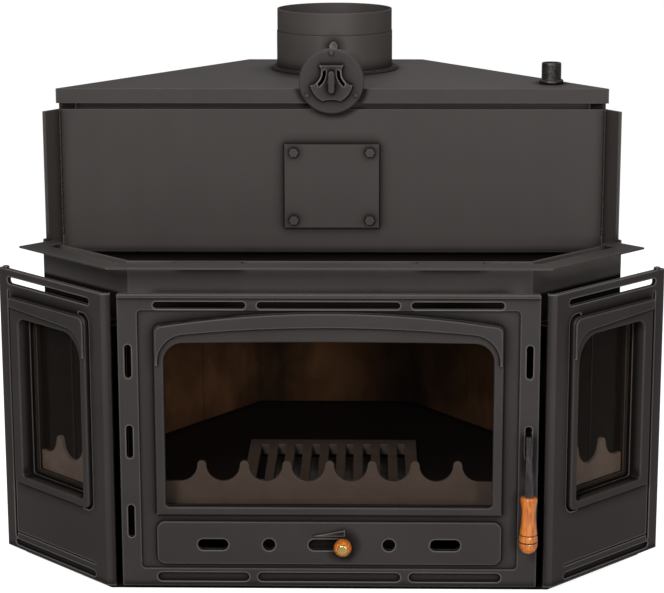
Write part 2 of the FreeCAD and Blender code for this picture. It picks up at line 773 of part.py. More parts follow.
def rim_side():
    outer = casing_outline(-RIM_REACH)[0]
    inner = casing_outline(RIM_WIDTH - RIM_REACH)[0]
    end = CASING_DIAGONAL - RIM_END_CUT * ROOT2
    tab = end - RIM_TAB * ROOT2
    points = [
        outer,
        side_point(-RIM_REACH, end),
        side_point(CASING_SHEET, end),
        side_point(CASING_SHEET, tab),
        side_point(RIM_WIDTH - RIM_REACH, tab),
        inner,
    ]
    return prism(points, CASING_TOP, CASING_TOP + RIM_SHEET)


def cover_bolt_places():
    """Centres of the cover bolts, on the front of the cover."""
    front = HOOD_Y - COVER_GASKET - COVER_SHEET
    places = []
    for x in (-COVER_BOLT_X, COVER_BOLT_X):
        for z in (COVER_LEVEL - COVER_BOLT_Z, COVER_LEVEL + COVER_BOLT_Z):
            places.append(V(x, front, z))
    return places


def cover_bolt_holes():
    return [round_bar(BOLT_RADIUS, place, V(0, BOLT_GRIP, 0)) for place in cover_bolt_places()]


def cover_hatch(front, back):
    """Opening behind the inspection cover."""
    half = COVER_WIDTH / 2 - COVER_FRAME
    tall = COVER_HEIGHT / 2 - COVER_FRAME
    return block(-half, half, front, back, COVER_LEVEL - tall, COVER_LEVEL + tall)


def cover_plate(front, back):
    half = COVER_WIDTH / 2
    tall = COVER_HEIGHT / 2
    return block(-half, half, front, back, COVER_LEVEL - tall, COVER_LEVEL + tall)


def hood_front_sheet():
    outer = hood_outline(HOOD_Y, CASING_SHEET)
    inner = hood_outline(HOOD_Y + CASING_SHEET, CASING_SHEET)
    sheet = wall_between(outer, inner, HOOD_FRONT, HOOD_LOW, HOOD_HIGH)
    sheet = sheet.cut(cover_hatch(HOOD_Y, HOOD_Y + CASING_SHEET))
    return sheet.cut(cover_bolt_holes())


def inspection_gasket():
    sheet = cover_plate(HOOD_Y - COVER_GASKET, HOOD_Y)
    return sheet.cut([cover_hatch(HOOD_Y - COVER_GASKET, HOOD_Y)] + cover_bolt_holes())


def inspection_cover():
    front = HOOD_Y - COVER_GASKET - COVER_SHEET
    plate = softened(cover_plate(front, front + COVER_SHEET), front, CAST_SOFT)
    return plate.cut(cover_bolt_holes())


def tank_wall(corner):
    outer = hood_outline(TANK_Y, CASING_SHEET)
    inner = hood_outline(TANK_Y + TANK_SHEET, CASING_SHEET + TANK_SHEET)
    return wall_between(outer, inner, corner, CROWN_TOP, TANK_TOP - TANK_SHEET)


def flue_bar(radius, low, high):
    """Upright round bar on the flue axis."""
    return round_bar(radius, V(0, FLUE_Y, low), V(0, 0, high - low))


def tank_top():
    front = TANK_Y - TANK_LIP
    low = TANK_TOP - TANK_SHEET
    plan = hood_outline(front, -TANK_OVERHANG)
    inner = hood_outline(front + TANK_SHEET, -TANK_OVERHANG)
    flange = wall_between(plan, inner, HOOD_FRONT, low - TANK_FLANGE, low)
    bore = SMOKE_TUBE_RADIUS - FLUE_WALL
    flow = round_bar(PIPE_BORE, V(FLOW_X, FLOW_Y, 0), V(0, 0, TANK_TOP))
    return joined([prism(plan, low, TANK_TOP), flange]).cut([flue_bar(bore, 0, TANK_TOP), flow])


def firebox_crown():
    plate = prism(casing_outline(CASING_SHEET), CROWN_LEVEL, CROWN_TOP)
    return plate.cut(flue_bar(SMOKE_TUBE_RADIUS - FLUE_WALL, CROWN_LEVEL, CROWN_TOP))


def smoke_tube():
    tube = flue_bar(SMOKE_TUBE_RADIUS, CROWN_TOP, TANK_TOP - TANK_SHEET)
    return tube.cut(flue_bar(SMOKE_TUBE_RADIUS - FLUE_WALL, CROWN_TOP, TANK_TOP))


def duct_block(wall):
    """Outline block of the regulator duct, or of its inside, from the can to the flue axis."""
    half = DUCT_WIDTH / 2 - wall
    return block(-half, half, TANK_Y - TANK_LIP, FLUE_Y, TANK_TOP, TANK_TOP + DUCT_HEIGHT - wall)


def flue_collar():
    shoulder = FLUE_TOP - SPIGOT_HEIGHT
    ring = flue_bar(FLUE_RADIUS + FLUE_RING_WIDTH, TANK_TOP, TANK_TOP + FLUE_RING_HEIGHT)
    ring = ring.cut(flue_bar(FLUE_RADIUS, TANK_TOP, FLUE_TOP)).cut(duct_block(0))
    body = flue_bar(FLUE_RADIUS, TANK_TOP, shoulder)
    spigot = flue_bar(FLUE_RADIUS - SPIGOT_STEP, shoulder, FLUE_TOP)
    collar = joined([body, spigot]).cut(flue_bar(FLUE_RADIUS - FLUE_WALL, TANK_TOP, FLUE_TOP))
    bearing = V(0, FLUE_Y - FLUE_RADIUS, DAMPER_LEVEL)
    across = V(0, 2 * FLUE_RADIUS, 0)
    bearings = round_bar(SPINDLE_RADIUS + RUNNING_FIT, bearing, across)
    return joined([collar, ring]).cut([bearings, duct_block(DUCT_WALL)])


def regulator_duct():
    shell = duct_block(0).cut(duct_block(DUCT_WALL))
    return shell.cut(flue_bar(FLUE_RADIUS, TANK_TOP, FLUE_TOP))


def damper_plate():
    low = DAMPER_LEVEL - DAMPER_SHEET / 2
    plate = flue_bar(DAMPER_RADIUS, low, low + DAMPER_SHEET)
    return plate.cut(spindle_bar())


def spindle_bar():
    """Damper spindle from the crank in front of the collar to the back wall of the collar."""
    front = FLUE_Y - FLUE_RADIUS - CRANK_STANDOFF - CRANK_SHEET
    start = V(0, front, DAMPER_LEVEL)
    return round_bar(SPINDLE_RADIUS, start, V(0, FLUE_Y + FLUE_RADIUS - SPINDLE_INSET - front, 0))


def damper_spindle():
    front = FLUE_Y - FLUE_RADIUS - CRANK_STANDOFF - CRANK_SHEET
    half = CRANK_WIDTH / 2
    low = DAMPER_LEVEL - CRANK_DROP - half
    high = DAMPER_LEVEL + CRANK_HEAD + half
    crank = oblong(-half, half, low, high, front, front + CRANK_SHEET)
    nut_start = V(0, front - SPINDLE_NUT_HEIGHT, DAMPER_LEVEL)
    nut = round_bar(SPINDLE_RADIUS + SPINDLE_NUT_WALL, nut_start, V(0, SPINDLE_NUT_HEIGHT, 0))
    return joined([spindle_bar(), crank, nut])


def regulator_bar(radius, front, back):
    """Round bar on the regulator axis."""
    return round_bar(radius, V(0, front, REGULATOR_LEVEL), V(0, back - front, 0))


def regulator_screw_places(front):
    """Centres of the three regulator screws at a given depth."""
    places = []
    for angle in REGULATOR_SCREW_ANGLES:
        x = REGULATOR_SCREW_CIRCLE * cos(radians(angle))
        z = REGULATOR_LEVEL + REGULATOR_SCREW_CIRCLE * sin(radians(angle))
        places.append(V(x, front, z))
    return places


def regulator_screw_shanks():
    """Screw shanks through the disc and the flange of the can."""
    front = REGULATOR_Y - REGULATOR_SHEET
    along = V(0, REGULATOR_SHEET + REGULATOR_CAN_WALL, 0)
    return [round_bar(REGULATOR_SCREW_RADIUS, place, along) for place in regulator_screw_places(front)]


def round_beside(angle, circle, radius, front, back):
    """Round bar beside the regulator axis, at an angle and a distance from it."""
    x = circle * cos(radians(angle))
    z = REGULATOR_LEVEL + circle * sin(radians(angle))
    return round_bar(radius, V(x, front, z), V(0, back - front, 0))


def regulator_slots(front, back):
    """Two curved air slots that follow the scoops of the shutter."""
    inner = SHUTTER_SCOOP_RADIUS + SHUTTER_SLOT_EDGE
    outer = inner + SHUTTER_SLOT_WIDTH
    slots = []
    for angle in SHUTTER_SCOOP_ANGLES:
        slot = round_beside(angle, SHUTTER_SCOOP_CIRCLE, outer, front, back)
        slot = slot.cut(round_beside(angle, SHUTTER_SCOOP_CIRCLE, inner, front, back))
        slots.append(slot.common(regulator_bar(SHUTTER_SLOT_REACH, front, back)))
    return slots


def regulator_box():
    back = TANK_Y - TANK_LIP
    can = regulator_bar(REGULATOR_CAN_RADIUS, REGULATOR_Y, back)
    hollow = regulator_bar(REGULATOR_CAN_RADIUS - REGULATOR_CAN_WALL, REGULATOR_Y, back - REGULATOR_CAN_WALL)
    flange_radius = REGULATOR_RADIUS - REGULATOR_FLANGE_STEP
    flange = regulator_bar(flange_radius, REGULATOR_Y, REGULATOR_Y + REGULATOR_CAN_WALL)
    half = DUCT_WIDTH / 2 - DUCT_WALL
    port = block(-half, half, back - REGULATOR_CAN_WALL, back, TANK_TOP, TANK_TOP + DUCT_HEIGHT - DUCT_WALL)
    return joined([can, flange]).cut([hollow, port] + regulator_screw_shanks())


def regulator_disc():
    front = REGULATOR_Y - REGULATOR_SHEET
    disc = softened(regulator_bar(REGULATOR_RADIUS, front, REGULATOR_Y), front, 2 * CAST_SOFT)
    pivot = regulator_bar(REGULATOR_PIVOT, front + SHUTTER_PIVOT_COVER - SHUTTER_SHEET, front)
    return joined([disc, pivot]).cut(regulator_slots(front, REGULATOR_Y) + regulator_screw_shanks())


def regulator_screws():
    front = REGULATOR_Y - REGULATOR_SHEET
    profile = [
        (0, 0),
        (REGULATOR_SCREW_HEAD, 0),
        (REGULATOR_SCREW_HEAD - REGULATOR_SCREW_DOME / 2, REGULATOR_SCREW_RIM),
        (0, REGULATOR_SCREW_DOME),
    ]
    screws = []
    for place, shank in zip(regulator_screw_places(front), regulator_screw_shanks()):
        screws.append(turned(profile, place, V(0, -1, 0)).fuse(shank))
    return Part.makeCompound(screws)


def regulator_shutter():
    back = REGULATOR_Y - REGULATOR_SHEET - SHUTTER_GAP
    front = back - SHUTTER_SHEET
    plate = regulator_bar(SHUTTER_RADIUS, front, back)
    scoops = [round_beside(270, SHUTTER_FOOT_CIRCLE, SHUTTER_FOOT_RADIUS, front, back)]
    for angle in SHUTTER_SCOOP_ANGLES:
        scoops.append(round_beside(angle, SHUTTER_SCOOP_CIRCLE, SHUTTER_SCOOP_RADIUS, front, back))
    head = REGULATOR_LEVEL + SHUTTER_HEAD
    top = REGULATOR_LEVEL + SHUTTER_RADIUS
    scoops.append(block(-SHUTTER_RADIUS, SHUTTER_RADIUS, front, back, head, top))
    plate = softened(plate.cut(scoops), front, CAST_SOFT)
    half = SHUTTER_GRIP_WIDTH / 2
    tall = SHUTTER_GRIP_LENGTH / 2
    tip = front - SHUTTER_GRIP_RISE
    grip = oblong(-half, half, REGULATOR_LEVEL - tall, REGULATOR_LEVEL + tall, tip, front)
    grip = softened(grip, tip, 2 * CAST_SOFT)
    bore = regulator_bar(REGULATOR_PIVOT + RUNNING_FIT, front + SHUTTER_PIVOT_COVER, back)
    return joined([plate, grip]).cut(regulator_slots(front, back) + [bore])


def flow_nipple():
    middle = V(FLOW_X, FLOW_Y, TANK_TOP)
    profile = [
        (PIPE_BORE, 0),
        (PIPE_SOCKET, 0),
        (PIPE_SOCKET, PIPE_SOCKET_HEIGHT),
        (PIPE_RADIUS, PIPE_SOCKET_HEIGHT),
        (PIPE_RADIUS, FLOW_HEIGHT),
        (PIPE_BORE, FLOW_HEIGHT),
    ]
    return turned(profile, middle, V(0, 0, 1))


def return_nipple():
    socket = CASING_SHEET + PIPE_SOCKET_HEIGHT
    neck = PIPE_RADIUS - PIPE_NECK
    profile = [
        (PIPE_BORE, 0),
        (neck, 0),
        (neck, CASING_SHEET),
        (PIPE_SOCKET, CASING_SHEET),
        (PIPE_SOCKET, socket),
        (PIPE_RADIUS, socket),
        (PIPE_RADIUS, RETURN_LENGTH),
        (PIPE_BORE, RETURN_LENGTH),
    ]
    pipe = turned(profile, V(RETURN_ALONG, CASING_SHEET, RETURN_LEVEL), V(0, -1, 0))
    return mirrored(on_back(pipe))


def front_mouth_frame():
    frame = ring_slab(
        -MOUTH_HALF,
        MOUTH_HALF,
        MOUTH_LOW,
        MOUTH_HIGH,
        MOUTH_PLATE,
        MOUTH_DEPTH,
        CASING_SETBACK,
    )
    return at_door(frame)


def side_bolt_places(depth):
    """Centres of the side frame bolts in the slanted face at a given depth."""
    return [V(s, depth, z) for s in (SIDE_BOLT_NEAR, SIDE_BOLT_FAR) for z in (SIDE_BOLT_LOW, SIDE_BOLT_HIGH)]


def side_mouth_frame():
    frame = ring_slab(
        SIDE_MOUTH_NEAR,
        SIDE_MOUTH_FAR,
        SIDE_MOUTH_LOW,
        SIDE_MOUTH_HIGH,
        MOUTH_PLATE,
        SIDE_MOUTH_FRONT,
        SIDE_DEPTH,
    )
    back = SIDE_MOUTH_FRONT + MOUTH_PLATE
    flange = block(
        SIDE_MOUTH_NEAR - MOUTH_PLATE,
        SIDE_RING_FAR + SIDE_MOUTH_FLANGE,
        SIDE_MOUTH_FRONT,
        back,
        SIDE_RING_LOW,
        SIDE_RING_HIGH,
    )
    opening = block(SIDE_MOUTH_NEAR, SIDE_MOUTH_FAR, SIDE_MOUTH_FRONT, back, SIDE_MOUTH_LOW, SIDE_MOUTH_HIGH)
    pieces = [frame, flange.cut(opening)]
    for s in (SIDE_BOLT_NEAR, SIDE_BOLT_FAR):
        left, right = s - SIDE_EAR, s + SIDE_EAR
        pieces.append(block(left, right, SIDE_MOUTH_FRONT, back, SIDE_MOUTH_HIGH, SIDE_BOLT_HIGH + SIDE_EAR))
        pieces.append(block(left, right, SIDE_MOUTH_FRONT, back, SIDE_BOLT_LOW - SIDE_EAR, SIDE_MOUTH_LOW))
    holes = [round_bar(BOLT_RADIUS, p, V(0, MOUTH_PLATE, 0)) for p in side_bolt_places(SIDE_MOUTH_FRONT)]
    return on_side(joined(pieces).cut(holes))


def grate_opening(spare, low, high):
    """Block through the hearth plate for the grate."""
    half = GRATE_WIDTH / 2 + spare
    long = GRATE_LENGTH / 2 + spare
    return block(-half, half, GRATE_MIDDLE_Y - long, GRATE_MIDDLE_Y + long, low, high)


def hearth_plate():
    low = HEARTH_LEVEL - HEARTH_PLATE
    floor = prism(casing_outline(CASING_SHEET), low, HEARTH_LEVEL)
    back = CASING_FRONT_Y + CASING_SHEET
    tongue = block(-MOUTH_HALF, MOUTH_HALF, DOOR_FACE_Y + HEARTH_FRONT, back, low, HEARTH_LEVEL)
    return joined([floor, tongue]).cut(grate_opening(GRATE_FIT, low, HEARTH_LEVEL))


def fire_grate():
    basket = grate_opening(0, HEARTH_LEVEL - GRATE_DEPTH, HEARTH_LEVEL)
    flange = grate_opening(GRATE_FLANGE, HEARTH_LEVEL, HEARTH_LEVEL + GRATE_FLANGE_HEIGHT)
    slots = []
    pitch = GRATE_WIDTH / GRATE_BARS
    long = GRATE_LENGTH / 2 - GRATE_END_BAR
    for bar in range(GRATE_BARS):
        x = -GRATE_WIDTH / 2 + pitch * (bar + 0.5)
        slot = block(
            x - GRATE_SLOT / 2,
            x + GRATE_SLOT / 2,
            GRATE_MIDDLE_Y - long,
            GRATE_MIDDLE_Y + long,
            HEARTH_LEVEL - GRATE_DEPTH,
            HEARTH_LEVEL + GRATE_FLANGE_HEIGHT,
        )
        slots.append(slot)
    return joined([basket, flange]).cut(slots)


def ash_pan():
    front = DOOR_FACE_Y + ASH_PAN_SETBACK
    back = front + ASH_PAN_LENGTH
    half = ASH_PAN_WIDTH / 2
    high = MOUTH_LOW + ASH_PAN_HEIGHT
    wall = ASH_PAN_SHEET
    outer = block(-half, half, front, back, MOUTH_LOW, high)
    inner = block(-half + wall, half - wall, front + wall, back - wall, MOUTH_LOW + wall, high)
    return outer.cut(inner)


def ash_pan_rest():
    """Cross bar on the base that keeps the ash pan level with the mouth frame."""
    half = ASH_PAN_WIDTH / 2
    back = DOOR_FACE_Y + ASH_PAN_SETBACK + ASH_PAN_LENGTH
    return block(-half, half, back - ASH_PAN_REST, back, BASE_PLATE, MOUTH_LOW)


def between(start, end, share):
    """Plan point part of the way between two points."""
    return (start[0] + (end[0] - start[0]) * share, start[1] + (end[1] - start[1]) * share)


def firebricks():
    outer = casing_outline(CASING_SHEET)
    inner = casing_outline(CASING_SHEET + BRICK_DEPTH)
    bricks = [wall_between(outer, inner, BACK, HEARTH_LEVEL, BRICK_TOP)]
    for corner in (RIGHT_BACK, LEFT_BACK):
        length = (V(*inner[corner], 0) - V(*inner[corner + 1], 0)).Length
        joint = BRICK_JOINT / length / 2
        for brick in range(BRICKS_PER_WALL):
            start = brick / BRICKS_PER_WALL + joint
            end = (brick + 1) / BRICKS_PER_WALL - joint
            points = [
                between(outer[corner], outer[corner + 1], start),
                between(outer[corner], outer[corner + 1], end),
                between(inner[corner], inner[corner + 1], end),
                between(inner[corner], inner[corner + 1], start),
            ]
            bricks.append(prism(points, HEARTH_LEVEL, BRICK_TOP))
    return Part.makeCompound(bricks)


def smoke_baffle():
    plan = hood_outline(DOOR_FACE_Y + BAFFLE_SETBACK, CASING_SHEET + BAFFLE_EDGE)
    return prism(plan, BRICK_TOP, BRICK_TOP + BAFFLE_SHEET)


def scalloped_plate(left, right, low, valley, peaks, front, back):
    """Plate whose upper edge runs in round scoops between round tips."""
    tip = GUARD_TIP / 2
    scoop = GUARD_PITCH / 2 - tip
    level = valley + scoop
    across = V(0, back - front, 0)
    first = peaks[0] - GUARD_PITCH / 2
    last = peaks[-1] + GUARD_PITCH / 2
    cuts = [round_bar(scoop, V(x + GUARD_PITCH / 2, front, level), across) for x in peaks]
    cuts.append(round_bar(scoop, V(first, front, level), across))
    if first > left:
        cuts.append(block(left, first, front, back, valley, level))
    if last < right:
        cuts.append(block(last, right, front, back, valley, level))
    plate = block(left, right, front, back, low, level).cut(cuts)
    tips = [round_bar(tip, V(x, front, level), across) for x in peaks]
    return joined([plate] + tips)


def log_guard_front():
    back = GUARD_SETBACK + GUARD_SHEET
    half = MOUTH_HALF - GUARD_GAP
    peaks = [GUARD_PITCH * (peak - (GUARD_PEAKS - 1) / 2) for peak in range(GUARD_PEAKS)]
    return at_door(scalloped_plate(-half, half, HEARTH_LEVEL, GUARD_VALLEY, peaks, GUARD_SETBACK, back))


def log_guard_side():
    back = SIDE_GUARD_DEPTH + GUARD_SHEET
    peak = SIDE_MOUTH_NEAR + SIDE_GUARD_PEAK
    guard = scalloped_plate(
        SIDE_MOUTH_NEAR,
        SIDE_MOUTH_FAR,
        SIDE_MOUTH_LOW,
        GUARD_VALLEY + SIDE_GUARD_LIFT,
        [peak - GUARD_PITCH, peak],
        SIDE_GUARD_DEPTH,
        back,
    )
    return on_side(guard)


def door_window(front, back):
    """Space of the door window between two depths."""
    shoulder = WINDOW_HIGH - WINDOW_ARCH
    window = arched_slab(
        WINDOW_HALF, WINDOW_LOW, shoulder, WINDOW_HIGH, WINDOW_TOP_CORNER, front, back
    )
    for x in (-WINDOW_HALF, WINDOW_HALF):
        window = corner_rounded(window, x, WINDOW_LOW, WINDOW_LOW_CORNER)
    return window


def door_frame():
    """Raised frame around the door window, arched along the top."""
    back = PANEL_DEPTH + CAST_SOFT
    frame = arched_slab(
        FRAME_HALF, FRAME_LOW, FRAME_SHOULDER, FRAME_CROWN, FRAME_CORNER, -FRAME_RISE, back
    )
    frame = frame.cut(door_window(-FRAME_RISE, back))
    return softened(frame, -FRAME_RISE, 2 * CAST_SOFT)


def door_brow():
    """Arched moulding over the door window."""
    half = FRAME_HALF - BROW_MARGIN
    shoulder = FRAME_SHOULDER - BROW_MARGIN
    crown = FRAME_CROWN - BROW_MARGIN
    outer = arched_slab(half, BROW_FOOT, shoulder, crown, FRAME_CORNER, -BROW_RISE, 0)
    inner = arched_slab(half - BROW_LEG, BROW_FOOT, BROW_SHOULDER, BROW_CROWN, BROW_KNEE, -BROW_RISE, 0)
    return softened(outer.cut(inner), -BROW_RISE, CAST_SOFT)


def air_holes(front, back):
    """Air holes that the door foot and its slide share."""
    low = AIR_LEVEL - AIR_HOLE_HEIGHT / 2
    high = AIR_LEVEL + AIR_HOLE_HEIGHT / 2
    holes = []
    for side in (-1, 1):
        middle = side * AIR_OBLONG_X
        half = AIR_OBLONG_LENGTH / 2
        holes.append(oblong(middle - half, middle + half, low, high, front, back))
        start = V(side * AIR_ROUND_X, front, AIR_LEVEL)
        holes.append(round_bar(AIR_ROUND_RADIUS, start, V(0, back - front, 0)))
    return holes


def clip_places():
    """Centres of the glass clips, above and below the door glass, with the way to the glass."""
    places = []
    for x in (-CLIP_OFFSET, 0.0, CLIP_OFFSET):
        places.append((x, WINDOW_HIGH + GLASS_LAP + CLIP_BOSS_OUT, -1))
        places.append((x, WINDOW_LOW - GLASS_LAP - CLIP_BOSS_OUT, 1))
    return places


def seal_ring(wall, front, back):
    """Square ring over the middle of the mouth frame edge."""
    spare = (MOUTH_PLATE - wall) / 2
    return ring_slab(
        -MOUTH_HALF - spare,
        MOUTH_HALF + spare,
        MOUTH_LOW - spare,
        MOUTH_HIGH + spare,
        wall,
        front,
        back,
    )


def latch_ears():
    """Left and right planes of the two ears beside the latch lever."""
    left = STILE_SLOT_X - LATCH_SHEET / 2 - LATCH_EAR_GAP
    right = STILE_SLOT_X + LATCH_SHEET / 2 + LATCH_EAR_GAP
    return ((left - LATCH_EAR, left), (right, right + LATCH_EAR))


def latch_pin_bar():
    start = latch_ears()[0][0]
    end = latch_ears()[1][1]
    return round_bar(LATCH_PIN, V(start, LATCH_DEPTH, LATCH_LEVEL), V(end - start, 0, 0))


def door_casting():
    half = DOOR_HALF
    plate = rounded_slab(-half, half, FACADE_LIFT, FACADE_HIGH, 2 * CAST_SOFT, 0, CAST_PLATE)
    recess = rounded_slab(-PANEL_HALF, PANEL_HALF, PANEL_LOW, PANEL_HIGH, PANEL_CORNER, 0, PANEL_DEPTH)
    plate = softened(plate.cut(recess), 0, CAST_SOFT)
    foot = rounded_slab(
        -FRAME_HALF,
        FRAME_HALF,
        AIR_PANEL_LOW,
        AIR_PANEL_HIGH,
        AIR_PANEL_CORNER,
        -AIR_PANEL_RISE,
        PANEL_DEPTH + CAST_SOFT,
    )
    foot = softened(foot, -AIR_PANEL_RISE, CAST_SOFT)
    low = FACADE_HIGH - TOP_BEAD
    bead = rounded_slab(-half, half, low, FACADE_HIGH, 2 * CAST_SOFT, -TOP_BEAD_RISE, CAST_SOFT)
    bead = softened(bead, -TOP_BEAD_RISE, CAST_SOFT)
    face = -AIR_PANEL_RISE - POINTER_RISE
    pointer = slab(
        front_face(
            (-POINTER_HALF, POINTER_LOW),
            (POINTER_HALF, POINTER_LOW),
            (POINTER_HALF, POINTER_HIGH),
            (-POINTER_HALF, POINTER_LOW),
        ),
        face,
        -AIR_PANEL_RISE + CAST_SOFT / 2,
    )
    pieces = [plate, door_frame(), door_brow(), foot, bead, pointer]
    pieces.append(seal_ring(SEAL_RIB_WIDTH, CAST_PLATE, CAST_PLATE + SEAL_RIB))
    for low in HINGE_LUG_LEVELS:
        high = low + HINGE_LUG_HEIGHT
        pieces.append(round_bar(HINGE_LUG, V(HINGE_X, HINGE_DEPTH, low), V(0, 0, high - low)))
        pieces.append(block(HINGE_X - HINGE_LUG, HINGE_X + HINGE_LUG, CAST_PLATE, HINGE_DEPTH, low, high))
    for left, right in latch_ears():
        ear = block(
            left,
            right,
            CAST_PLATE,
            LATCH_DEPTH + LATCH_EAR_REACH,
            LATCH_LEVEL - LATCH_EAR_REACH,
            LATCH_LEVEL + LATCH_EAR_REACH,
        )
        pieces.append(ear)
    for x, z, way in clip_places():
        pieces.append(round_bar(CLIP_BOSS_RADIUS, V(x, CAST_PLATE, z), V(0, GLASS_BACK - CAST_PLATE, 0)))
    cuts = [door_window(-BROW_RISE, CAST_PLATE)]
    outer = FRAME_HALF
    for left, right in ((-outer, -VENT_SLOT_INNER), (VENT_SLOT_INNER, outer)):
        cuts.append(oblong(left, right, VENT_SLOT_LOW, VENT_SLOT_HIGH, -BROW_RISE, CAST_PLATE))
    middle = VENT_SLOT_MIDDLE_HALF
    cuts.append(oblong(-middle, middle, VENT_SLOT_LOW, VENT_SLOT_HIGH, -BROW_RISE, CAST_PLATE))
    pockets = ((-outer, -POCKET_INNER), (-POCKET_MIDDLE_HALF, POCKET_MIDDLE_HALF), (POCKET_INNER, outer))
    for left, right in pockets:
        cuts.append(oblong(left, right, POCKET_LOW, POCKET_HIGH, -BROW_RISE, POCKET_DEPTH))
    wide = STILE_SLOT_WIDTH / 2
    tall = STILE_SLOT_HEIGHT / 2
    for x in (-STILE_SLOT_X, STILE_SLOT_X):
        for step in (-1, 0, 1):
            level = STILE_SLOT_LEVEL + step * STILE_SLOT_PITCH
            cuts.append(oblong(x - wide, x + wide, level - tall, level + tall, -BROW_RISE, CAST_PLATE))
    cuts.extend(air_holes(-BROW_RISE, CAST_PLATE))
    low = AIR_LEVEL - AIR_HOLE_HEIGHT / 2
    high = AIR_LEVEL + AIR_HOLE_HEIGHT / 2
    cuts.append(oblong(-AIR_SLOT_HALF, AIR_SLOT_HALF, low, high, -BROW_RISE, CAST_PLATE))
    bore = HINGE_PIN + RUNNING_FIT
    for low in HINGE_LUG_LEVELS:
        cuts.append(round_bar(bore, V(HINGE_X, HINGE_DEPTH, low), V(0, 0, HINGE_LUG_HEIGHT)))
    cuts.append(latch_pin_bar())
    return at_door(joined(pieces).cut(cuts))


def glass_block(front, back):
    """Block with the outline of the door glass."""
    half = WINDOW_HALF + GLASS_LAP
    return block(-half, half, front, back, WINDOW_LOW - GLASS_LAP, WINDOW_HIGH + GLASS_LAP)


def door_glass():
    return at_door(glass_block(CAST_PLATE + GLASS_TAPE, GLASS_BACK))


def door_glass_tape():
    half = WINDOW_HALF + GLASS_LAP - TAPE_WIDTH
    low = WINDOW_LOW - GLASS_LAP + TAPE_WIDTH
    high = WINDOW_HIGH + GLASS_LAP - TAPE_WIDTH
    back = CAST_PLATE + GLASS_TAPE
    return at_door(ring_slab(-half, half, low, high, TAPE_WIDTH, CAST_PLATE, back))


def door_glass_clips():
    clips = []
    for x, z, way in clip_places():
        reach = z + way * (CLIP_BOSS_OUT + TAPE_WIDTH)
        heel = z - way * CLIP_BOSS_RADIUS
        low, high = min(reach, heel), max(reach, heel)
        back = GLASS_BACK + CLIP_SHEET
        strip = block(x - CLIP_WIDTH / 2, x + CLIP_WIDTH / 2, GLASS_BACK, back, low, high)
        head = round_bar(CLIP_HEAD_RADIUS, V(x, back, z), V(0, CLIP_HEAD, 0))
        clips.append(at_door(strip.fuse(head)))
    return Part.makeCompound(clips)


def door_seal():
    front = CAST_PLATE + SEAL_RIB
    return at_door(seal_ring(SEAL_WIDTH, front, MOUTH_DEPTH - SEAL_GAP))


def slide_planes():
    """Front and back of the air slide behind the door."""
    front = CAST_PLATE + SLIDE_GAP
    return front, front + SLIDE_SHEET


def air_slide():
    front, back = slide_planes()
    low = AIR_LEVEL - SLIDE_HEIGHT / 2
    high = AIR_LEVEL + SLIDE_HEIGHT / 2
    plate = block(-SLIDE_HALF, SLIDE_HALF, front, back, low, high).cut(air_holes(front, back))
    tip = -AIR_PANEL_RISE - KNOB_GAP - KNOB_LENGTH
    stem = round_bar(KNOB_STEM, V(KNOB_X, tip, AIR_LEVEL), V(0, back - tip, 0))
    return at_door(joined([plate, stem]))


def air_slide_guides():
    back = slide_planes()[1]
    lip = back + SLIDE_GAP
    guides = []
    for way in (-1, 1):
        edge = AIR_LEVEL + way * (SLIDE_HEIGHT / 2 + SLIDE_GAP)
        outer = edge + way * GUIDE_FOOT
        inner = edge - way * SLIDE_LAP
        foot = block(-GUIDE_HALF, GUIDE_HALF, CAST_PLATE, lip, min(edge, outer), max(edge, outer))
        cap = block(-GUIDE_HALF, GUIDE_HALF, lip, lip + GUIDE_LIP, min(inner, outer), max(inner, outer))
        guides.append(at_door(joined([foot, cap])))
    return Part.makeCompound(guides)


def air_knob():
    belly = Part.BSplineCurve()
    belly.interpolate([V(KNOB_BACK, 0, 0), V(KNOB_RADIUS, 0, KNOB_BELLY), V(KNOB_FRONT, 0, KNOB_LENGTH)])
    edges = [
        Part.makeLine(V(KNOB_STEM, 0, 0), V(KNOB_BACK, 0, 0)),
        belly.toShape(),
        Part.makeLine(V(KNOB_FRONT, 0, KNOB_LENGTH), V(KNOB_STEM, 0, KNOB_LENGTH)),
        Part.makeLine(V(KNOB_STEM, 0, KNOB_LENGTH), V(KNOB_STEM, 0, 0)),
    ]
    knob = Part.Face(Part.Wire(edges)).revolve(V(0, 0, 0), V(0, 0, 1), 360)
    place = V(KNOB_X, -AIR_PANEL_RISE - KNOB_GAP, AIR_LEVEL)
    knob.Placement = FreeCAD.Placement(place, FreeCAD.Rotation(V(0, 0, 1), V(0, -1, 0)))
    return at_door(knob)


def air_knob_cap():
    front = -AIR_PANEL_RISE - KNOB_GAP - KNOB_LENGTH
    cap = round_bar(KNOB_CAP_RADIUS, V(KNOB_X, front, AIR_LEVEL), V(0, -KNOB_CAP_HEIGHT, 0))
    return at_door(softened(cap, front - KNOB_CAP_HEIGHT, KNOB_CAP_ROUND))


def hinge_brackets():
    brackets = []
    for lug in HINGE_LUG_LEVELS:
        high = lug - HINGE_ARM_GAP
        low = high - HINGE_ARM
        left = HINGE_X - HINGE_ARM_LEFT
        right = HINGE_X + HINGE_ARM_RIGHT
        arm = block(left, right, HINGE_DEPTH, CASING_SETBACK, low, high)
        boss = round_bar(HINGE_BOSS, V(HINGE_X, HINGE_DEPTH, low), V(0, 0, HINGE_ARM))
        pin = round_bar(HINGE_PIN, V(HINGE_X, HINGE_DEPTH, low), V(0, 0, HINGE_ARM + HINGE_LUG_HEIGHT))
        brackets.append(at_door(joined([arm, boss, pin])))
    return Part.makeCompound(brackets)


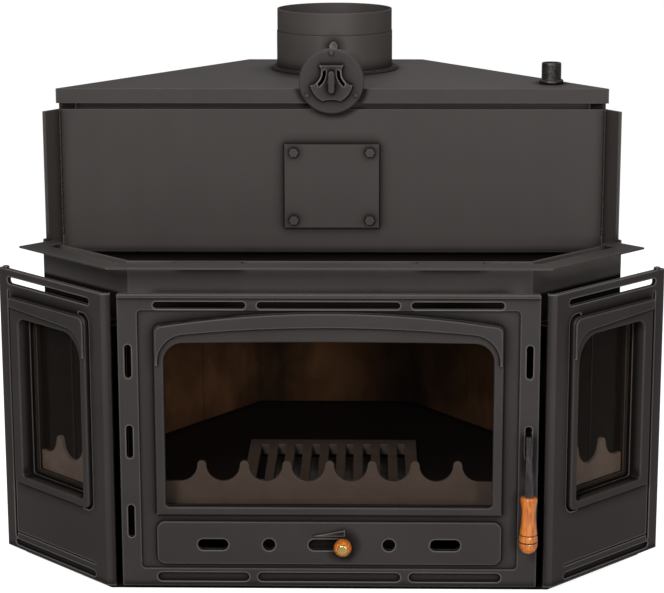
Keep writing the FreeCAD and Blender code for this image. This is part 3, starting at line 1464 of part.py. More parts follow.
def latch_keeper():
    low = LATCH_LEVEL + LATCH_HUB - LATCH_TAIL_DROP + KEEPER_GAP
    half = KEEPER_WIDTH / 2
    left = STILE_SLOT_X - half
    bar = block(left, left + KEEPER_WIDTH, KEEPER_FRONT, CASING_SETBACK, low, low + KEEPER_HEIGHT)
    return at_door(bar)


def latch_pin():
    return at_door(latch_pin_bar())


def shank_section(depth, level, wide, thick):
    """Level cross section of the latch shank."""
    x = STILE_SLOT_X
    half = wide / 2
    deep = thick / 2
    corners = [
        V(x - half, depth - deep, level),
        V(x + half, depth - deep, level),
        V(x + half, depth + deep, level),
        V(x - half, depth + deep, level),
    ]
    return Part.makePolygon(corners + corners[:1])


def grip_tang():
    """Round end of the shank inside the wooden grip."""
    start = V(STILE_SLOT_X, -GRIP_STANDOFF, GRIP_TOP - TANG_LENGTH)
    return round_bar(TANG_RADIUS, start, V(0, 0, TANG_LENGTH))


def latch_lever():
    half = LATCH_SHEET / 2
    left = STILE_SLOT_X - half
    right = STILE_SLOT_X + half
    high = LATCH_LEVEL + LATCH_HUB
    hub = round_bar(LATCH_HUB, V(left, LATCH_DEPTH, LATCH_LEVEL), V(LATCH_SHEET, 0, 0))
    tail = block(left, right, LATCH_DEPTH, LATCH_TAIL, LATCH_LEVEL - LATCH_HUB / 2, high - LATCH_TAIL_DROP)
    neck = block(left, right, -SHANK_THICK, LATCH_DEPTH, high - LATCH_NECK, high)
    sections = [
        shank_section(-SHANK_THICK / 2, high - SHANK_DROP, SHANK_TOP_WIDTH, SHANK_THICK),
        shank_section(-GRIP_STANDOFF, GRIP_TOP, SHANK_LOW_WIDTH, SHANK_THICK),
    ]
    shank = Part.makeLoft(sections, True)
    bore_start = V(left, LATCH_DEPTH, LATCH_LEVEL)
    bore = round_bar(LATCH_PIN + RUNNING_FIT, bore_start, V(LATCH_SHEET, 0, 0))
    return at_door(joined([hub, tail, neck, shank, grip_tang()]).cut(bore))


def handle_grip():
    top = V(GRIP_TOP_RADIUS, 0, GRIP_LENGTH)
    end = V(GRIP_END_RADIUS, 0, 0)
    curve = Part.BSplineCurve()
    curve.interpolate(
        [
            top,
            V(GRIP_SHOULDER_RADIUS, 0, GRIP_LENGTH - GRIP_SHOULDER_DROP),
            V(GRIP_WAIST, 0, GRIP_LENGTH - GRIP_WAIST_DROP),
            V(GRIP_RADIUS, 0, GRIP_BELLY_RISE),
            V(GRIP_HEEL_RADIUS, 0, GRIP_HEEL_RISE),
            end,
        ]
    )
    edges = [
        Part.makeLine(V(0, 0, GRIP_LENGTH), top),
        curve.toShape(),
        Part.makeLine(end, V(0, 0, 0)),
        Part.makeLine(V(0, 0, 0), V(0, 0, GRIP_LENGTH)),
    ]
    grip = Part.Face(Part.Wire(edges)).revolve(V(0, 0, 0), V(0, 0, 1), 360)
    grip = grip.translated(V(STILE_SLOT_X, -GRIP_STANDOFF, GRIP_TOP - GRIP_LENGTH))
    return at_door(grip.cut(grip_tang()))


def side_window_face():
    """Opening of the side window, with a large corner next to the door."""
    radii = (WINDOW_LOW_CORNER, WINDOW_LOW_CORNER, SIDE_WINDOW_FAR_CORNER, SIDE_WINDOW_NEAR_CORNER)
    return rounded_face(SIDE_WINDOW_NEAR, SIDE_WINDOW_FAR, WINDOW_LOW, WINDOW_HIGH, radii)


def side_trench(panel_face):
    """Deep groove along the near edge of the raised side panel, turned round its corners."""
    near = SIDE_PANEL_NEAR - SIDE_TRENCH_WIDTH
    low = FRAME_LOW - SIDE_TRENCH_WIDTH
    high = SIDE_PANEL_HIGH + SIDE_TRENCH_WIDTH
    corner = SIDE_PANEL_CORNER + SIDE_TRENCH_WIDTH
    outline = rounded_face(near, SIDE_PANEL_FAR, low, high, (corner, PANEL_CORNER, PANEL_CORNER, corner))
    trench = slab(outline, 0, SIDE_TRENCH_DEPTH).cut(slab(panel_face, 0, SIDE_TRENCH_DEPTH))
    return trench.common(block(near, near + SIDE_TRENCH_RUN, 0, SIDE_TRENCH_DEPTH, low, high))


def side_brow():
    """Half arch moulding over the side window."""
    near = SIDE_PANEL_NEAR + BROW_MARGIN
    far = SIDE_PANEL_FAR - BROW_MARGIN
    high = SIDE_PANEL_HIGH - BROW_MARGIN
    leg = near + BROW_LEG
    outer = block(near, far, -SIDE_BROW_RISE, 0, SIDE_BROW_FOOT, high)
    outer = corner_rounded(outer, near, high, SIDE_PANEL_CORNER)
    face = front_face(
        (leg, SIDE_BROW_FOOT),
        (far, SIDE_BROW_FOOT),
        (far, SIDE_BROW_END),
        (leg, SIDE_BROW_BEND),
        (leg, SIDE_BROW_FOOT),
    )
    inner = corner_rounded(slab(face, -SIDE_BROW_RISE, 0), leg, SIDE_BROW_BEND, SIDE_BROW_KNEE)
    return softened(outer.cut(inner), -SIDE_BROW_RISE, CAST_SOFT)


def side_frame():
    strip = NEAR_CORNER - CORNER_STRIP
    run = SIDE_RUN / ROOT2
    thick = CAST_PLATE / ROOT2
    face = DOOR_FACE_Y
    plan = [
        (strip, face),
        (NEAR_CORNER, face),
        (NEAR_CORNER + run, face + run),
        (NEAR_CORNER + run - thick, face + run + thick),
        (NEAR_CORNER + CAST_PLATE - CAST_PLATE * ROOT2, face + CAST_PLATE),
        (strip, face + CAST_PLATE),
    ]
    plate = prism(plan, FACADE_LIFT, FACADE_HIGH)
    uprights = []
    for edge in plate.Edges:
        first, last = edge.Vertexes[0].Point, edge.Vertexes[-1].Point
        level = abs(first.z - last.z) < 1e-6
        if not level and abs(first.y - face) < 1e-6:
            uprights.append(edge)
    plate = plate.makeFillet(2 * CAST_SOFT, uprights)
    window = side_window_face()
    panel_face = rounded_face(
        SIDE_PANEL_NEAR,
        SIDE_PANEL_FAR,
        FRAME_LOW,
        SIDE_PANEL_HIGH,
        (SIDE_PANEL_CORNER, PANEL_CORNER, PANEL_CORNER, SIDE_PANEL_CORNER),
    )
    panel = slab(panel_face, -SIDE_PANEL_RISE, CAST_SOFT).cut(slab(window, -SIDE_PANEL_RISE, CAST_SOFT))
    panel = softened(panel, -SIDE_PANEL_RISE, 2 * CAST_SOFT)
    ring = block(SIDE_RING_NEAR, SIDE_RING_FAR, CAST_PLATE, SIDE_REVEAL, SIDE_RING_LOW, SIDE_RING_HIGH)
    lug_far = SIDE_RUN - SIDE_LUG_FAR
    lug = block(
        lug_far - SIDE_LUG_WIDTH,
        lug_far,
        SIDE_LUG_INSET,
        CAST_PLATE,
        FACADE_HIGH,
        FACADE_HIGH + SIDE_LUG_HEIGHT,
    )
    bosses = []
    depth = SIDE_MOUTH_FRONT - CAST_PLATE
    for place in side_bolt_places(CAST_PLATE):
        bosses.append(round_bar(SIDE_BOSS, place, V(0, depth, 0)))
    pieces = [plate] + [on_side(shape) for shape in [panel, side_brow(), ring, lug] + bosses]
    far = SIDE_SLOT_FAR
    near = SIDE_SLOT_NEAR
    groove = far - SIDE_GROOVE_WIDTH
    line = SIDE_LINE_LEVEL + SIDE_LINE_HEIGHT
    cuts = [
        slab(window, -SIDE_BROW_RISE, SIDE_REVEAL),
        oblong(near, far, VENT_SLOT_LOW, VENT_SLOT_HIGH, -SIDE_BROW_RISE, CAST_PLATE),
        oblong(groove, far, SIDE_GROOVE_LOW, SIDE_GROOVE_HIGH, -SIDE_BROW_RISE, SIDE_GROOVE_DEPTH),
        block(near, groove, -SIDE_BROW_RISE, CAST_SOFT, SIDE_LINE_LEVEL, line),
        oblong(near, far, SIDE_POCKET_LOW, SIDE_POCKET_HIGH, -SIDE_BROW_RISE, POCKET_DEPTH),
    ]
    cuts.append(side_trench(panel_face))
    for place in side_bolt_places(SIDE_MOUTH_FRONT):
        cuts.append(round_bar(BOLT_RADIUS, place, V(0, MOUTH_PLATE - SIDE_BOLT_GRIP, 0)))
    return joined(pieces).cut([on_side(shape) for shape in cuts])


def side_glass():
    return on_side(
        block(
            SIDE_RING_NEAR,
            SIDE_RING_FAR,
            SIDE_GLASS_FRONT,
            SIDE_GLASS_BACK,
            SIDE_RING_LOW,
            SIDE_RING_HIGH,
        )
    )


def side_tapes():
    """Sealing tapes in front of and behind one side glass."""
    front = block(SIDE_RING_NEAR, SIDE_RING_FAR, SIDE_REVEAL, SIDE_GLASS_FRONT, SIDE_RING_LOW, SIDE_RING_HIGH)
    front = front.cut(slab(side_window_face(), SIDE_REVEAL, SIDE_GLASS_FRONT))
    back = ring_slab(
        SIDE_MOUTH_NEAR,
        SIDE_MOUTH_FAR,
        SIDE_MOUTH_LOW,
        SIDE_MOUTH_HIGH,
        MOUTH_PLATE,
        SIDE_GLASS_BACK,
        SIDE_MOUTH_FRONT,
    )
    return [on_side(front), on_side(back)]


def side_frame_bolts():
    bolts = []
    for place in side_bolt_places(SIDE_MOUTH_FRONT + MOUTH_PLATE):
        bolt = on_side(hex_bolt(place, V(0, 1, 0), SIDE_BOLT_GRIP))
        bolts.extend([bolt, mirrored(bolt)])
    return Part.makeCompound(bolts)


def both(solids):
    """A group of solids with its copy on the other side."""
    return Part.makeCompound(solids + [mirrored(solid) for solid in solids])


parts = {
    "base_plate": base_plate(),
    "casing_front": casing_front(),
    "casing_side_right": casing_side(),
    "casing_side_left": mirrored(casing_side()),
    "casing_back_right": casing_back_wall(RIGHT_BACK),
    "casing_back_left": casing_back_wall(LEFT_BACK).cut(return_hole()),
    "casing_back": casing_wall(BACK, TANK_TOP - TANK_SHEET),
    "rim_front": rim_front(),
    "rim_right": rim_side(),
    "rim_left": mirrored(rim_side()),
    "hood_front_sheet": hood_front_sheet(),
    "inspection_gasket": inspection_gasket(),
    "inspection_cover": inspection_cover(),
    "inspection_bolts": Part.makeCompound([hex_bolt(p, V(0, -1, 0), BOLT_GRIP) for p in cover_bolt_places()]),
    "tank_front": tank_wall(HOOD_FRONT),
    "tank_back_walls": Part.makeCompound([tank_wall(side) for side in (HOOD_RIGHT, HOOD_BACK, HOOD_LEFT)]),
    "tank_top": tank_top(),
    "firebox_crown": firebox_crown(),
    "smoke_tube": smoke_tube(),
    "flue_collar": flue_collar(),
    "damper_plate": damper_plate(),
    "damper_spindle": damper_spindle(),
    "regulator_box": regulator_box(),
    "regulator_duct": regulator_duct(),
    "regulator_disc": regulator_disc(),
    "regulator_screws": regulator_screws(),
    "regulator_shutter": regulator_shutter(),
    "flow_nipple": flow_nipple(),
    "return_nipple": return_nipple(),
    "front_mouth_frame": front_mouth_frame(),
    "side_mouth_frame_right": side_mouth_frame(),
    "side_mouth_frame_left": mirrored(side_mouth_frame()),
    "hearth_plate": hearth_plate(),
    "fire_grate": fire_grate(),
    "ash_pan": ash_pan(),
    "ash_pan_rest": ash_pan_rest(),
    "firebricks": firebricks(),
    "smoke_baffle": smoke_baffle(),
    "log_guard_front": log_guard_front(),
    "log_guard_right": log_guard_side(),
    "log_guard_left": mirrored(log_guard_side()),
    "side_frame_right": side_frame(),
    "side_frame_left": mirrored(side_frame()),
    "side_glass_panes": both([side_glass()]),
    "side_glass_tapes": both(side_tapes()),
    "side_frame_bolts": side_frame_bolts(),
    "hinge_brackets": hinge_brackets(),
    "latch_keeper": latch_keeper(),
    "door_casting": door_casting(),
    "door_glass": door_glass(),
    "door_glass_tape": door_glass_tape(),
    "door_glass_clips": door_glass_clips(),
    "door_seal": door_seal(),
    "air_slide_guides": air_slide_guides(),
    "latch_pin": latch_pin(),
    "latch_lever": latch_lever(),
    "handle_grip": handle_grip(),
    "air_slide": air_slide(),
    "air_knob": air_knob(),
    "air_knob_cap": air_knob_cap(),
}

for name, shape in parts.items():
    shape.exportStep(os.path.join("parts", name + ".step"))
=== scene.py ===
import json
import math

import bmesh
import bpy
from mathutils import Matrix, Vector


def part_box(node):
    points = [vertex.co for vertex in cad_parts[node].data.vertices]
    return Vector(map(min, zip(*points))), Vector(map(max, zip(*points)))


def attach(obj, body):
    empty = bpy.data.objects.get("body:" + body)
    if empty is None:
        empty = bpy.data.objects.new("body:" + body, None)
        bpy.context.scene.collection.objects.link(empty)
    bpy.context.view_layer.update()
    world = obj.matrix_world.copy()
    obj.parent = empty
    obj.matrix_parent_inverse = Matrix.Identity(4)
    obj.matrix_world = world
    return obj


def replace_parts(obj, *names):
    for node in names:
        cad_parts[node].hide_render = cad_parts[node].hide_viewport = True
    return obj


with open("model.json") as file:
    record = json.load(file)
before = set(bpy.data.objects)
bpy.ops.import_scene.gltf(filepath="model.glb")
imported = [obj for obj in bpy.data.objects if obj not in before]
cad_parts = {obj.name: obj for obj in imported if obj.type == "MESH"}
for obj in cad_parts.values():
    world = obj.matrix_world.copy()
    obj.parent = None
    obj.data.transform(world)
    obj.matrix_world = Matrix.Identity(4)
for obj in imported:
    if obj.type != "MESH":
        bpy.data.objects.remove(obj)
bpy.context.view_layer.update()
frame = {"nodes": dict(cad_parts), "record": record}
nodes = frame["nodes"]

# The view: distances in metres, angles in degrees, pixels of the 664 by 593 picture
PICTURE_WIDTH = 664
SENSOR_WIDTH = 36.0
FOCAL_PIXELS = 2134.25
EYE = Vector((0.0659, -3.4721, 1.2172))
EYE_DOWN = 12.40
EYE_TURN = 1.10
EYE_ROLL = -0.11
PICTURE_SHIFT = -0.052

# Studio
FLOOR_SPAN = 60.0
FLOOR_COLOUR = (0.5, 0.5, 0.5)
FLOOR_PALE = (0.52, 0.52, 0.52)
FLOOR_GLOW = 0.88
WORLD_LEVEL = 0.24
# Each softbox: name, place, the point it faces, width, height and watts
SOFTBOXES = [
    ("key_light", (-0.9, -3.4, 2.3), (0, 0, 0.45), 0.8, 1.1, 104.0),
    ("fill_light", (1.5, -3.9, 1.0), (0, 0, 0.4), 0.7, 1.2, 60.0),
    ("top_light", (0.3, 0.7, 2.5), (0, 0.05, 0.75), 1.4, 0.9, 26.0),
]

# Lines of the CAD that the added pieces follow, in metres
# Level below which shade is painted on the casing, in the shade behind the door
FACADE_SHADE_LEVEL = 0.452
FIRE_LEVEL = 0.47
MOUTH_DEPTH = 0.026
DOOR_FACE = -0.330
NEAR_CORNER = 0.346
TANK_TOP = 0.7495
FLUE_MIDDLE = 0.232
FLUE_FOOT = 0.1072
DUCT_SIDE = 0.0375
HOOD_SEAM = (0.4427, -0.0402)
HOOD_SEAM_LEVELS = (0.509, 0.715)
FLANGE_SEAM = (0.4447, -0.0352)
FLANGE_SEAM_LEVELS = (0.7262, 0.745)
SEAL_HALF = 0.2765
SEAL_LEVELS = (0.0245, 0.4415)
SEAL_PLACE = -0.30515
DOOR_TAPE_HALF = 0.2585
DOOR_TAPE_LEVELS = (0.132, 0.408)
DOOR_TAPE_PLACE = -0.321
SIDE_TAPE_RUN = (0.047, 0.212)
SIDE_TAPE_LEVELS = (0.1355, 0.4045)
SIDE_TAPE_DEPTH = 0.0185
SIDE_TAPE_CORNERS = (0.009, 0.009, 0.018, 0.045)
SIDE_BACK_TAPE_RUN = (0.0615, 0.2055)
SIDE_BACK_TAPE_LEVELS = (0.1435, 0.402)
SIDE_BACK_TAPE_DEPTH = 0.024
GASKET_HALF = 0.0665
GASKET_LEVELS = (0.5315, 0.6485)
GASKET_PLACE = -0.041
ROPE_RADIUS = 0.00478
DOOR_TAPE_SECTION = (0.0034, 0.00096)
GASKET_SECTION = (0.0108, 0.00096)
SIDE_TAPE_SECTION = (0.0029, 0.00048)
SIDE_BACK_TAPE_SECTION = (0.0024, 0.00096)
HOOD_WELD = 0.0024
FLANGE_WELD = 0.0018
FLUE_WELD = 0.0026
RETURN_PIPE_LENGTH = 0.042
RETURN_PIPE_SUNK = 0.024
THREAD_PITCH = 0.00231
THREAD_DEPTH = 0.0011
PIPE_OUTSIDE = 0.0166
PIPE_INSIDE = 0.0136
SOCKET_OUTSIDE = 0.02
SOCKET_HEIGHT = 0.006
GRIP_PROFILE = [
    (0.0, 0.0001),
    (0.0, 0.005),
    (0.005, 0.0114),
    (0.019, 0.0146),
    (0.061, 0.011),
    (0.085, 0.0132),
    (0.09, 0.0123),
    (0.09, 0.0042),
]
GRIP_GROOVES = (0.0187, 0.03)

# Paint and metal colours, linear
SHEET_DARK = (0.0275, 0.0225, 0.0206)
SHEET_PALE = (0.039, 0.0325, 0.03)
# Colour of the outer edges of sheet paint: painted highlight, partly wear
SHEET_EDGE_HIGHLIGHT = (0.1, 0.092, 0.086)
# A lighter copy of the sheet paint: painted light on the flue and on the casing front under the rim
LIT_SHEET_DARK = (0.0465, 0.0392, 0.0364)
LIT_SHEET_PALE = (0.064, 0.0556, 0.0518)
CAST_DARK = (0.0205, 0.0162, 0.0149)
CAST_PALE = (0.0295, 0.0239, 0.0223)
# Colour of the outer edges of cast paint: painted highlight, partly wear
CAST_EDGE_HIGHLIGHT = (0.15, 0.138, 0.13)
# Soot, and also the colour of the painted shade in hollows, in reveals and below the facade
SOOT_AND_SHADE = (0.006, 0.005, 0.0045)
# Near black: painted shade on the dark inner sheets
PRIMER_AND_SHADE = (0.014, 0.012, 0.011)
SOOT_BROWN = (0.022, 0.014, 0.009)
GUARD_GREY = (0.18, 0.15, 0.136)
GUARD_BROWN = (0.12, 0.096, 0.086)
# Painted highlight on the outer edges of bare castings and the side mouth frames
GUARD_EDGE_HIGHLIGHT = (0.24, 0.2, 0.175)
# A lighter copy of the guard colours: painted light on the guards behind the side glass
SIDE_GUARD_LIT_GREY = (0.4, 0.34, 0.31)
SIDE_GUARD_LIT_BROWN = (0.27, 0.22, 0.195)
MOUTH_DARK = (0.12, 0.1, 0.088)
MOUTH_PALE = (0.17, 0.145, 0.13)
STEEL = (0.34, 0.33, 0.32)
STEEL_DULL = (0.16, 0.15, 0.145)
PIPE_DARK = (0.03, 0.027, 0.025)
LEVER_DARK = (0.012, 0.0105, 0.0115)
LEVER_PALE = (0.042, 0.037, 0.04)
ZINC_PALE = (0.42, 0.43, 0.44)
ZINC_DARK = (0.26, 0.27, 0.28)
ASH_GREY = (0.2, 0.19, 0.18)
BRICK_PALE = (0.26, 0.135, 0.062)
BRICK_DARK = (0.14, 0.066, 0.03)
BRICK_GRIT = (0.5, 0.34, 0.2)
BOARD_PALE = (0.4, 0.3, 0.17)
BOARD_FLAKE = (0.6, 0.48, 0.28)
GLASS_FILM = (0.05, 0.04, 0.035)
GLASS_TINT = (0.78, 0.75, 0.72)
ROPE_PALE = (0.34, 0.33, 0.3)
ROPE_DARK = (0.1, 0.095, 0.09)
WOOD_PALE = (0.74, 0.23, 0.016)
WOOD_DARK = (0.36, 0.075, 0.006)
BURNT = (0.035, 0.01, 0.003)
BURNT_PALE = (0.09, 0.028, 0.008)
BRASS_PALE = (0.84, 0.6, 0.22)
BRASS_DARK = (0.55, 0.34, 0.1)

# Sheen of the cast paint, and the share of a sheen taken away where shade is painted in and where soot lies
CAST_GLOSS = 0.28
DULL_SHARE = 0.9


class Value:
    """A socket of a finish, with arithmetic that adds the nodes it needs."""

    def __init__(self, finish, socket):
        self.finish = finish
        self.socket = socket

    def sum_of(self, operation, *terms):
        sockets = dict(enumerate(terms))
        made = self.finish.node("ShaderNodeMath", {"operation": operation}, sockets)
        return made["Value"]

    def __add__(self, other):
        return self.sum_of("ADD", self, other)

    def __radd__(self, other):
        return self.sum_of("ADD", other, self)

    def __sub__(self, other):
        return self.sum_of("SUBTRACT", self, other)

    def __rsub__(self, other):
        return self.sum_of("SUBTRACT", other, self)

    def __mul__(self, other):
        return self.sum_of("MULTIPLY", self, other)

    def __rmul__(self, other):
        return self.sum_of("MULTIPLY", other, self)

    def __truediv__(self, other):
        return self.sum_of("DIVIDE", self, other)

    def __pow__(self, other):
        return self.sum_of("POWER", self, other)

    def larger(self, other):
        return self.sum_of("MAXIMUM", self, other)

    def smaller(self, other):
        return self.sum_of("MINIMUM", self, other)

    def size(self):
        return self.sum_of("ABSOLUTE", self)

    def sine(self):
        return self.sum_of("SINE", self)

    def rising(self, low, high):
        """0 below low, 1 above high, smooth between."""
        settings = {"interpolation_type": "SMOOTHSTEP"}
        sockets = {"Value": self, "From Min": low, "From Max": high}
        return self.finish.node("ShaderNodeMapRange", settings, sockets)["Result"]


class Placed:
    """A node of a finish, whose outputs are read by name."""

    def __init__(self, finish, made):
        self.finish = finish
        self.made = made

    def __getitem__(self, name):
        for socket in self.made.outputs:
            if socket.name == name and socket.enabled:
                return Value(self.finish, socket)
        raise KeyError(name)


class Finish:
    """A material of this object, or the surroundings, built up from its nodes."""

    def __init__(self, name, world=None):
        self.material = world or bpy.data.materials.new(name)
        self.material.use_nodes = True
        self.tree = self.material.node_tree
        self.tree.nodes.clear()

    def node(self, kind, settings=None, sockets=None):
        made = self.tree.nodes.new(kind)
        for name, setting in (settings or {}).items():
            if name == "stops":
                self.set_stops(made.color_ramp, setting)
            else:
                setattr(made, name, setting)
        for name, value in (sockets or {}).items():
            self.feed(self.find(made, name), value)
        return Placed(self, made)

    def find(self, made, name):
        if isinstance(name, int):
            return made.inputs[name]
        for socket in made.inputs:
            if socket.name == name and socket.enabled:
                return socket
        raise KeyError(name)

    def feed(self, socket, value):
        if isinstance(value, Value):
            self.tree.links.new(value.socket, socket)
        elif socket.type == "RGBA" and len(value) == 3:
            socket.default_value = (*value, 1.0)
        else:
            socket.default_value = value

    def set_stops(self, ramp, stops):
        while len(ramp.elements) < len(stops):
            ramp.elements.new(0.5)
        for element, (place, colour) in zip(ramp.elements, stops):
            element.position = place
            element.color = (*colour, 1.0)

    def place(self):
        return self.node("ShaderNodeTexCoord")["Object"]

    def along(self, vector):
        parts = self.node("ShaderNodeSeparateXYZ", {}, {"Vector": vector})
        return parts["X"], parts["Y"], parts["Z"]

    def stretched(self, vector, scale, turn=(0, 0, 0)):
        sockets = {"Vector": vector, "Scale": scale, "Rotation": turn}
        return self.node("ShaderNodeMapping", {}, sockets)["Vector"]

    def noise(self, vector, scale, detail=2.0, rough=0.5):
        sockets = {"Vector": vector, "Scale": scale, "Detail": detail, "Roughness": rough}
        return self.node("ShaderNodeTexNoise", {}, sockets)["Fac"]

    def cells(self, vector, scale, feature="F1"):
        sockets = {"Vector": vector, "Scale": scale}
        return self.node("ShaderNodeTexVoronoi", {"feature": feature}, sockets)

    def mix(self, share, first, second):
        sockets = {"Factor": share, "A": first, "B": second}
        return self.node("ShaderNodeMix", {"data_type": "RGBA"}, sockets)["Result"]

    def soft_normal(self, radius):
        return self.node("ShaderNodeBevel", {"samples": 4}, {"Radius": radius})["Normal"]

    def enclosed(self, reach, inside):
        """How closed in a spot is: by hollows outside it, or by the edges of its own solid inside."""
        settings = {"samples": 6, "inside": inside, "only_local": inside}
        open_share = self.node("ShaderNodeAmbientOcclusion", settings, {"Distance": reach})["AO"]
        return 1 - open_share

    def hollows(self):
        """Painted shade in grooves, and fainter painted shade beside every step."""
        groove = self.enclosed(0.008, False).rising(0.06, 0.4)
        beside = self.enclosed(0.02, False).rising(0.02, 0.18)
        return groove.larger(beside * 0.85)

    def edges(self, radius):
        """A softened normal, and a value that rises towards sharp outer edges."""
        return self.soft_normal(radius), self.enclosed(radius * 1.4, True)

    def facing(self, axis):
        """How far a face is turned along an axis: 1 towards its end, -1 away from it."""
        normal = self.node("ShaderNodeNewGeometry")["Normal"]
        return self.along(normal)[axis]

    def behind_face(self, place, slanted):
        """Depth behind the face of the door, or behind the slanted faces of the side frames."""
        x, y, z = self.along(place)
        if slanted:
            return (y - DOOR_FACE - x.size() + NEAR_CORNER) * math.sqrt(0.5)
        return y - DOOR_FACE

    def bump(self, height, depth, strength=1.0, normal=None):
        sockets = {"Height": height, "Distance": depth, "Strength": strength}
        if normal:
            sockets["Normal"] = normal
        return self.node("ShaderNodeBump", {}, sockets)["Normal"]

    def surface(self, **sockets):
        named = {name.replace("_", " "): value for name, value in sockets.items()}
        return self.node("ShaderNodeBsdfPrincipled", {}, named)["BSDF"]

    def show(self, shader):
        self.node("ShaderNodeOutputMaterial", {}, {"Surface": shader})
        return self.material


def sheet_paint(name, dark, pale, edge_highlight_colour, soot=0.0, shade_below=None, fire_below=None, gloss=0.3):
    """Heat proof paint on sheet steel, with painted shade in hollows and below the facade's top edge, painted
    highlights on outer edges that are partly wear, and soot where it faces the fire.
    """
    f = Finish(name)
    place = f.place()
    soft, edge = f.edges(0.0012)
    worn_and_highlit = edge.rising(0.1, 0.5)
    cloud = f.noise(place, 5.0, 3.0)
    speck = f.noise(place, 900.0, 2.0)
    streak = f.noise(f.stretched(place, (14.0, 14.0, 2.0)), 3.0, 2.0)
    shade = (cloud * 0.6 + streak * 0.25 + speck * 0.3 - 0.1).rising(0.15, 0.85)
    colour = f.mix(shade, dark, pale)
    if soot:
        smoke = (f.noise(place, 9.0, 4.0) + soot - 0.5).rising(0.2, 0.8)
        colour = f.mix(smoke, colour, SOOT_AND_SHADE)
    hollow_shade = f.hollows()
    # Painted shade: hollows and the foot of each step darken towards the soot colour
    colour = f.mix(hollow_shade * 0.8, colour, SOOT_AND_SHADE)
    # Painted highlight: outer edges are lightened, partly as wear
    colour = f.mix(worn_and_highlit * 0.75, colour, edge_highlight_colour)
    # Painted shade below the facade's top edge, or soot where the sheet faces the fire, darkens and dulls the
    # paint from here on
    bare = 0
    if shade_below:
        bare = 1 - f.along(place)[2].rising(shade_below - 0.004, shade_below + 0.002)
        colour = f.mix(bare, colour, SOOT_AND_SHADE)
    if fire_below:
        inner = (0 - f.facing(1)).rising(0.2, 0.5)
        bare = inner * (1 - f.along(place)[2].rising(fire_below - 0.006, fire_below))
        colour = f.mix(bare * 0.96, colour, SOOT_AND_SHADE)
    orange_peel = f.noise(place, 420.0, 2.0) * 0.7 + speck * 0.3
    rough = 0.47 + cloud * 0.1 + speck * 0.08 - worn_and_highlit * 0.1 + bare * 0.4
    normal = f.bump(orange_peel, 0.0001, 0.35, soft)
    sheen = (1 - hollow_shade.larger(bare) * DULL_SHARE) * gloss
    shader = f.surface(
        Base_Color=colour, Roughness=rough, Specular_IOR_Level=sheen, Normal=normal
    )
    return f.show(shader)


def cast_paint(name, dark, pale, edge_highlight_colour, face=None, shade_depth=0.003):
    """Painted cast iron with the grain of the sand mould, with painted shade in hollows and behind the front
    or side face, and painted highlights on outer edges that are partly wear.
    """
    f = Finish(name)
    place = f.place()
    soft, edge = f.edges(0.002)
    worn_and_highlit = edge.rising(0.08, 0.4)
    hollow_shade = f.hollows()
    cloud = f.noise(place, 8.0, 3.0)
    sand = f.noise(place, 620.0, 3.0, 0.6)
    pits = f.cells(place, 260.0)["Distance"]
    shade = (cloud * 0.7 + sand * 0.45 - 0.1).rising(0.2, 0.8)
    # Painted shade in the reveals: darker further behind the front or side face
    if face:
        depth = f.behind_face(place, face == "side")
        hollow_shade = hollow_shade.larger(depth.rising(shade_depth, shade_depth + 0.008))
    # Painted shade: hollows, and the reveals behind the face, darken towards the soot colour
    colour = f.mix(hollow_shade, f.mix(shade, dark, pale), SOOT_AND_SHADE)
    # Painted highlight: outer edges are lightened, partly as wear
    colour = f.mix(worn_and_highlit * 0.8, colour, edge_highlight_colour)
    rough = 0.47 + cloud * 0.08 + sand * 0.1 - worn_and_highlit * 0.12
    normal = f.bump(sand * 0.75 + pits * 0.25, 0.00022, 0.4, soft)
    sheen = (1 - hollow_shade * DULL_SHARE) * CAST_GLOSS
    shader = f.surface(
        Base_Color=colour, Roughness=rough, Specular_IOR_Level=sheen, Normal=normal
    )
    return f.show(shader)


def bare_casting(name, brown, grey):
    """Cast iron left bare inside the fire, greyed by ash and heat."""
    f = Finish(name)
    place = f.place()
    soft, edge = f.edges(0.0018)
    ash = f.noise(place, 22.0, 4.0, 0.6)
    sand = f.noise(place, 420.0, 3.0, 0.6)
    streak = f.noise(f.stretched(place, (9.0, 9.0, 40.0)), 4.0, 3.0)
    shade = (ash * 0.6 + streak * 0.3 + sand * 0.35 - 0.15).rising(0.2, 0.8)
    colour = f.mix(shade, brown, grey)
    # Painted highlight: outer edges are lightened
    colour = f.mix(edge.rising(0.1, 0.5) * 0.3, colour, GUARD_EDGE_HIGHLIGHT)
    rough = 0.68 + sand * 0.16
    normal = f.bump(sand, 0.00018, 0.3, soft)
    shader = f.surface(
        Base_Color=colour, Roughness=rough, Specular_IOR_Level=0.3, Normal=normal
    )
    return f.show(shader)


def bare_steel(name, dull, bright, grain=(900.0, 900.0, 30.0), rough_base=0.34):
    """Steel with fine turning and rolling lines and a dull film."""
    f = Finish(name)
    place = f.place()
    soft, edge = f.edges(0.0008)
    film = f.noise(place, 60.0, 3.0)
    line = f.noise(f.stretched(place, grain), 1.0, 2.0)
    # Painted highlight: outer edges lighten the steel
    shade = (film * 0.6 + line * 0.4 + edge.rising(0.1, 0.5) * 0.4).rising(0.25, 0.85)
    colour = f.mix(shade, dull, bright)
    rough = rough_base + film * 0.2 - line * 0.06
    normal = f.bump(line, 0.00006, 0.5, soft)
    shader = f.surface(Base_Color=colour, Roughness=rough, Metallic=1.0, Normal=normal)
    return f.show(shader)


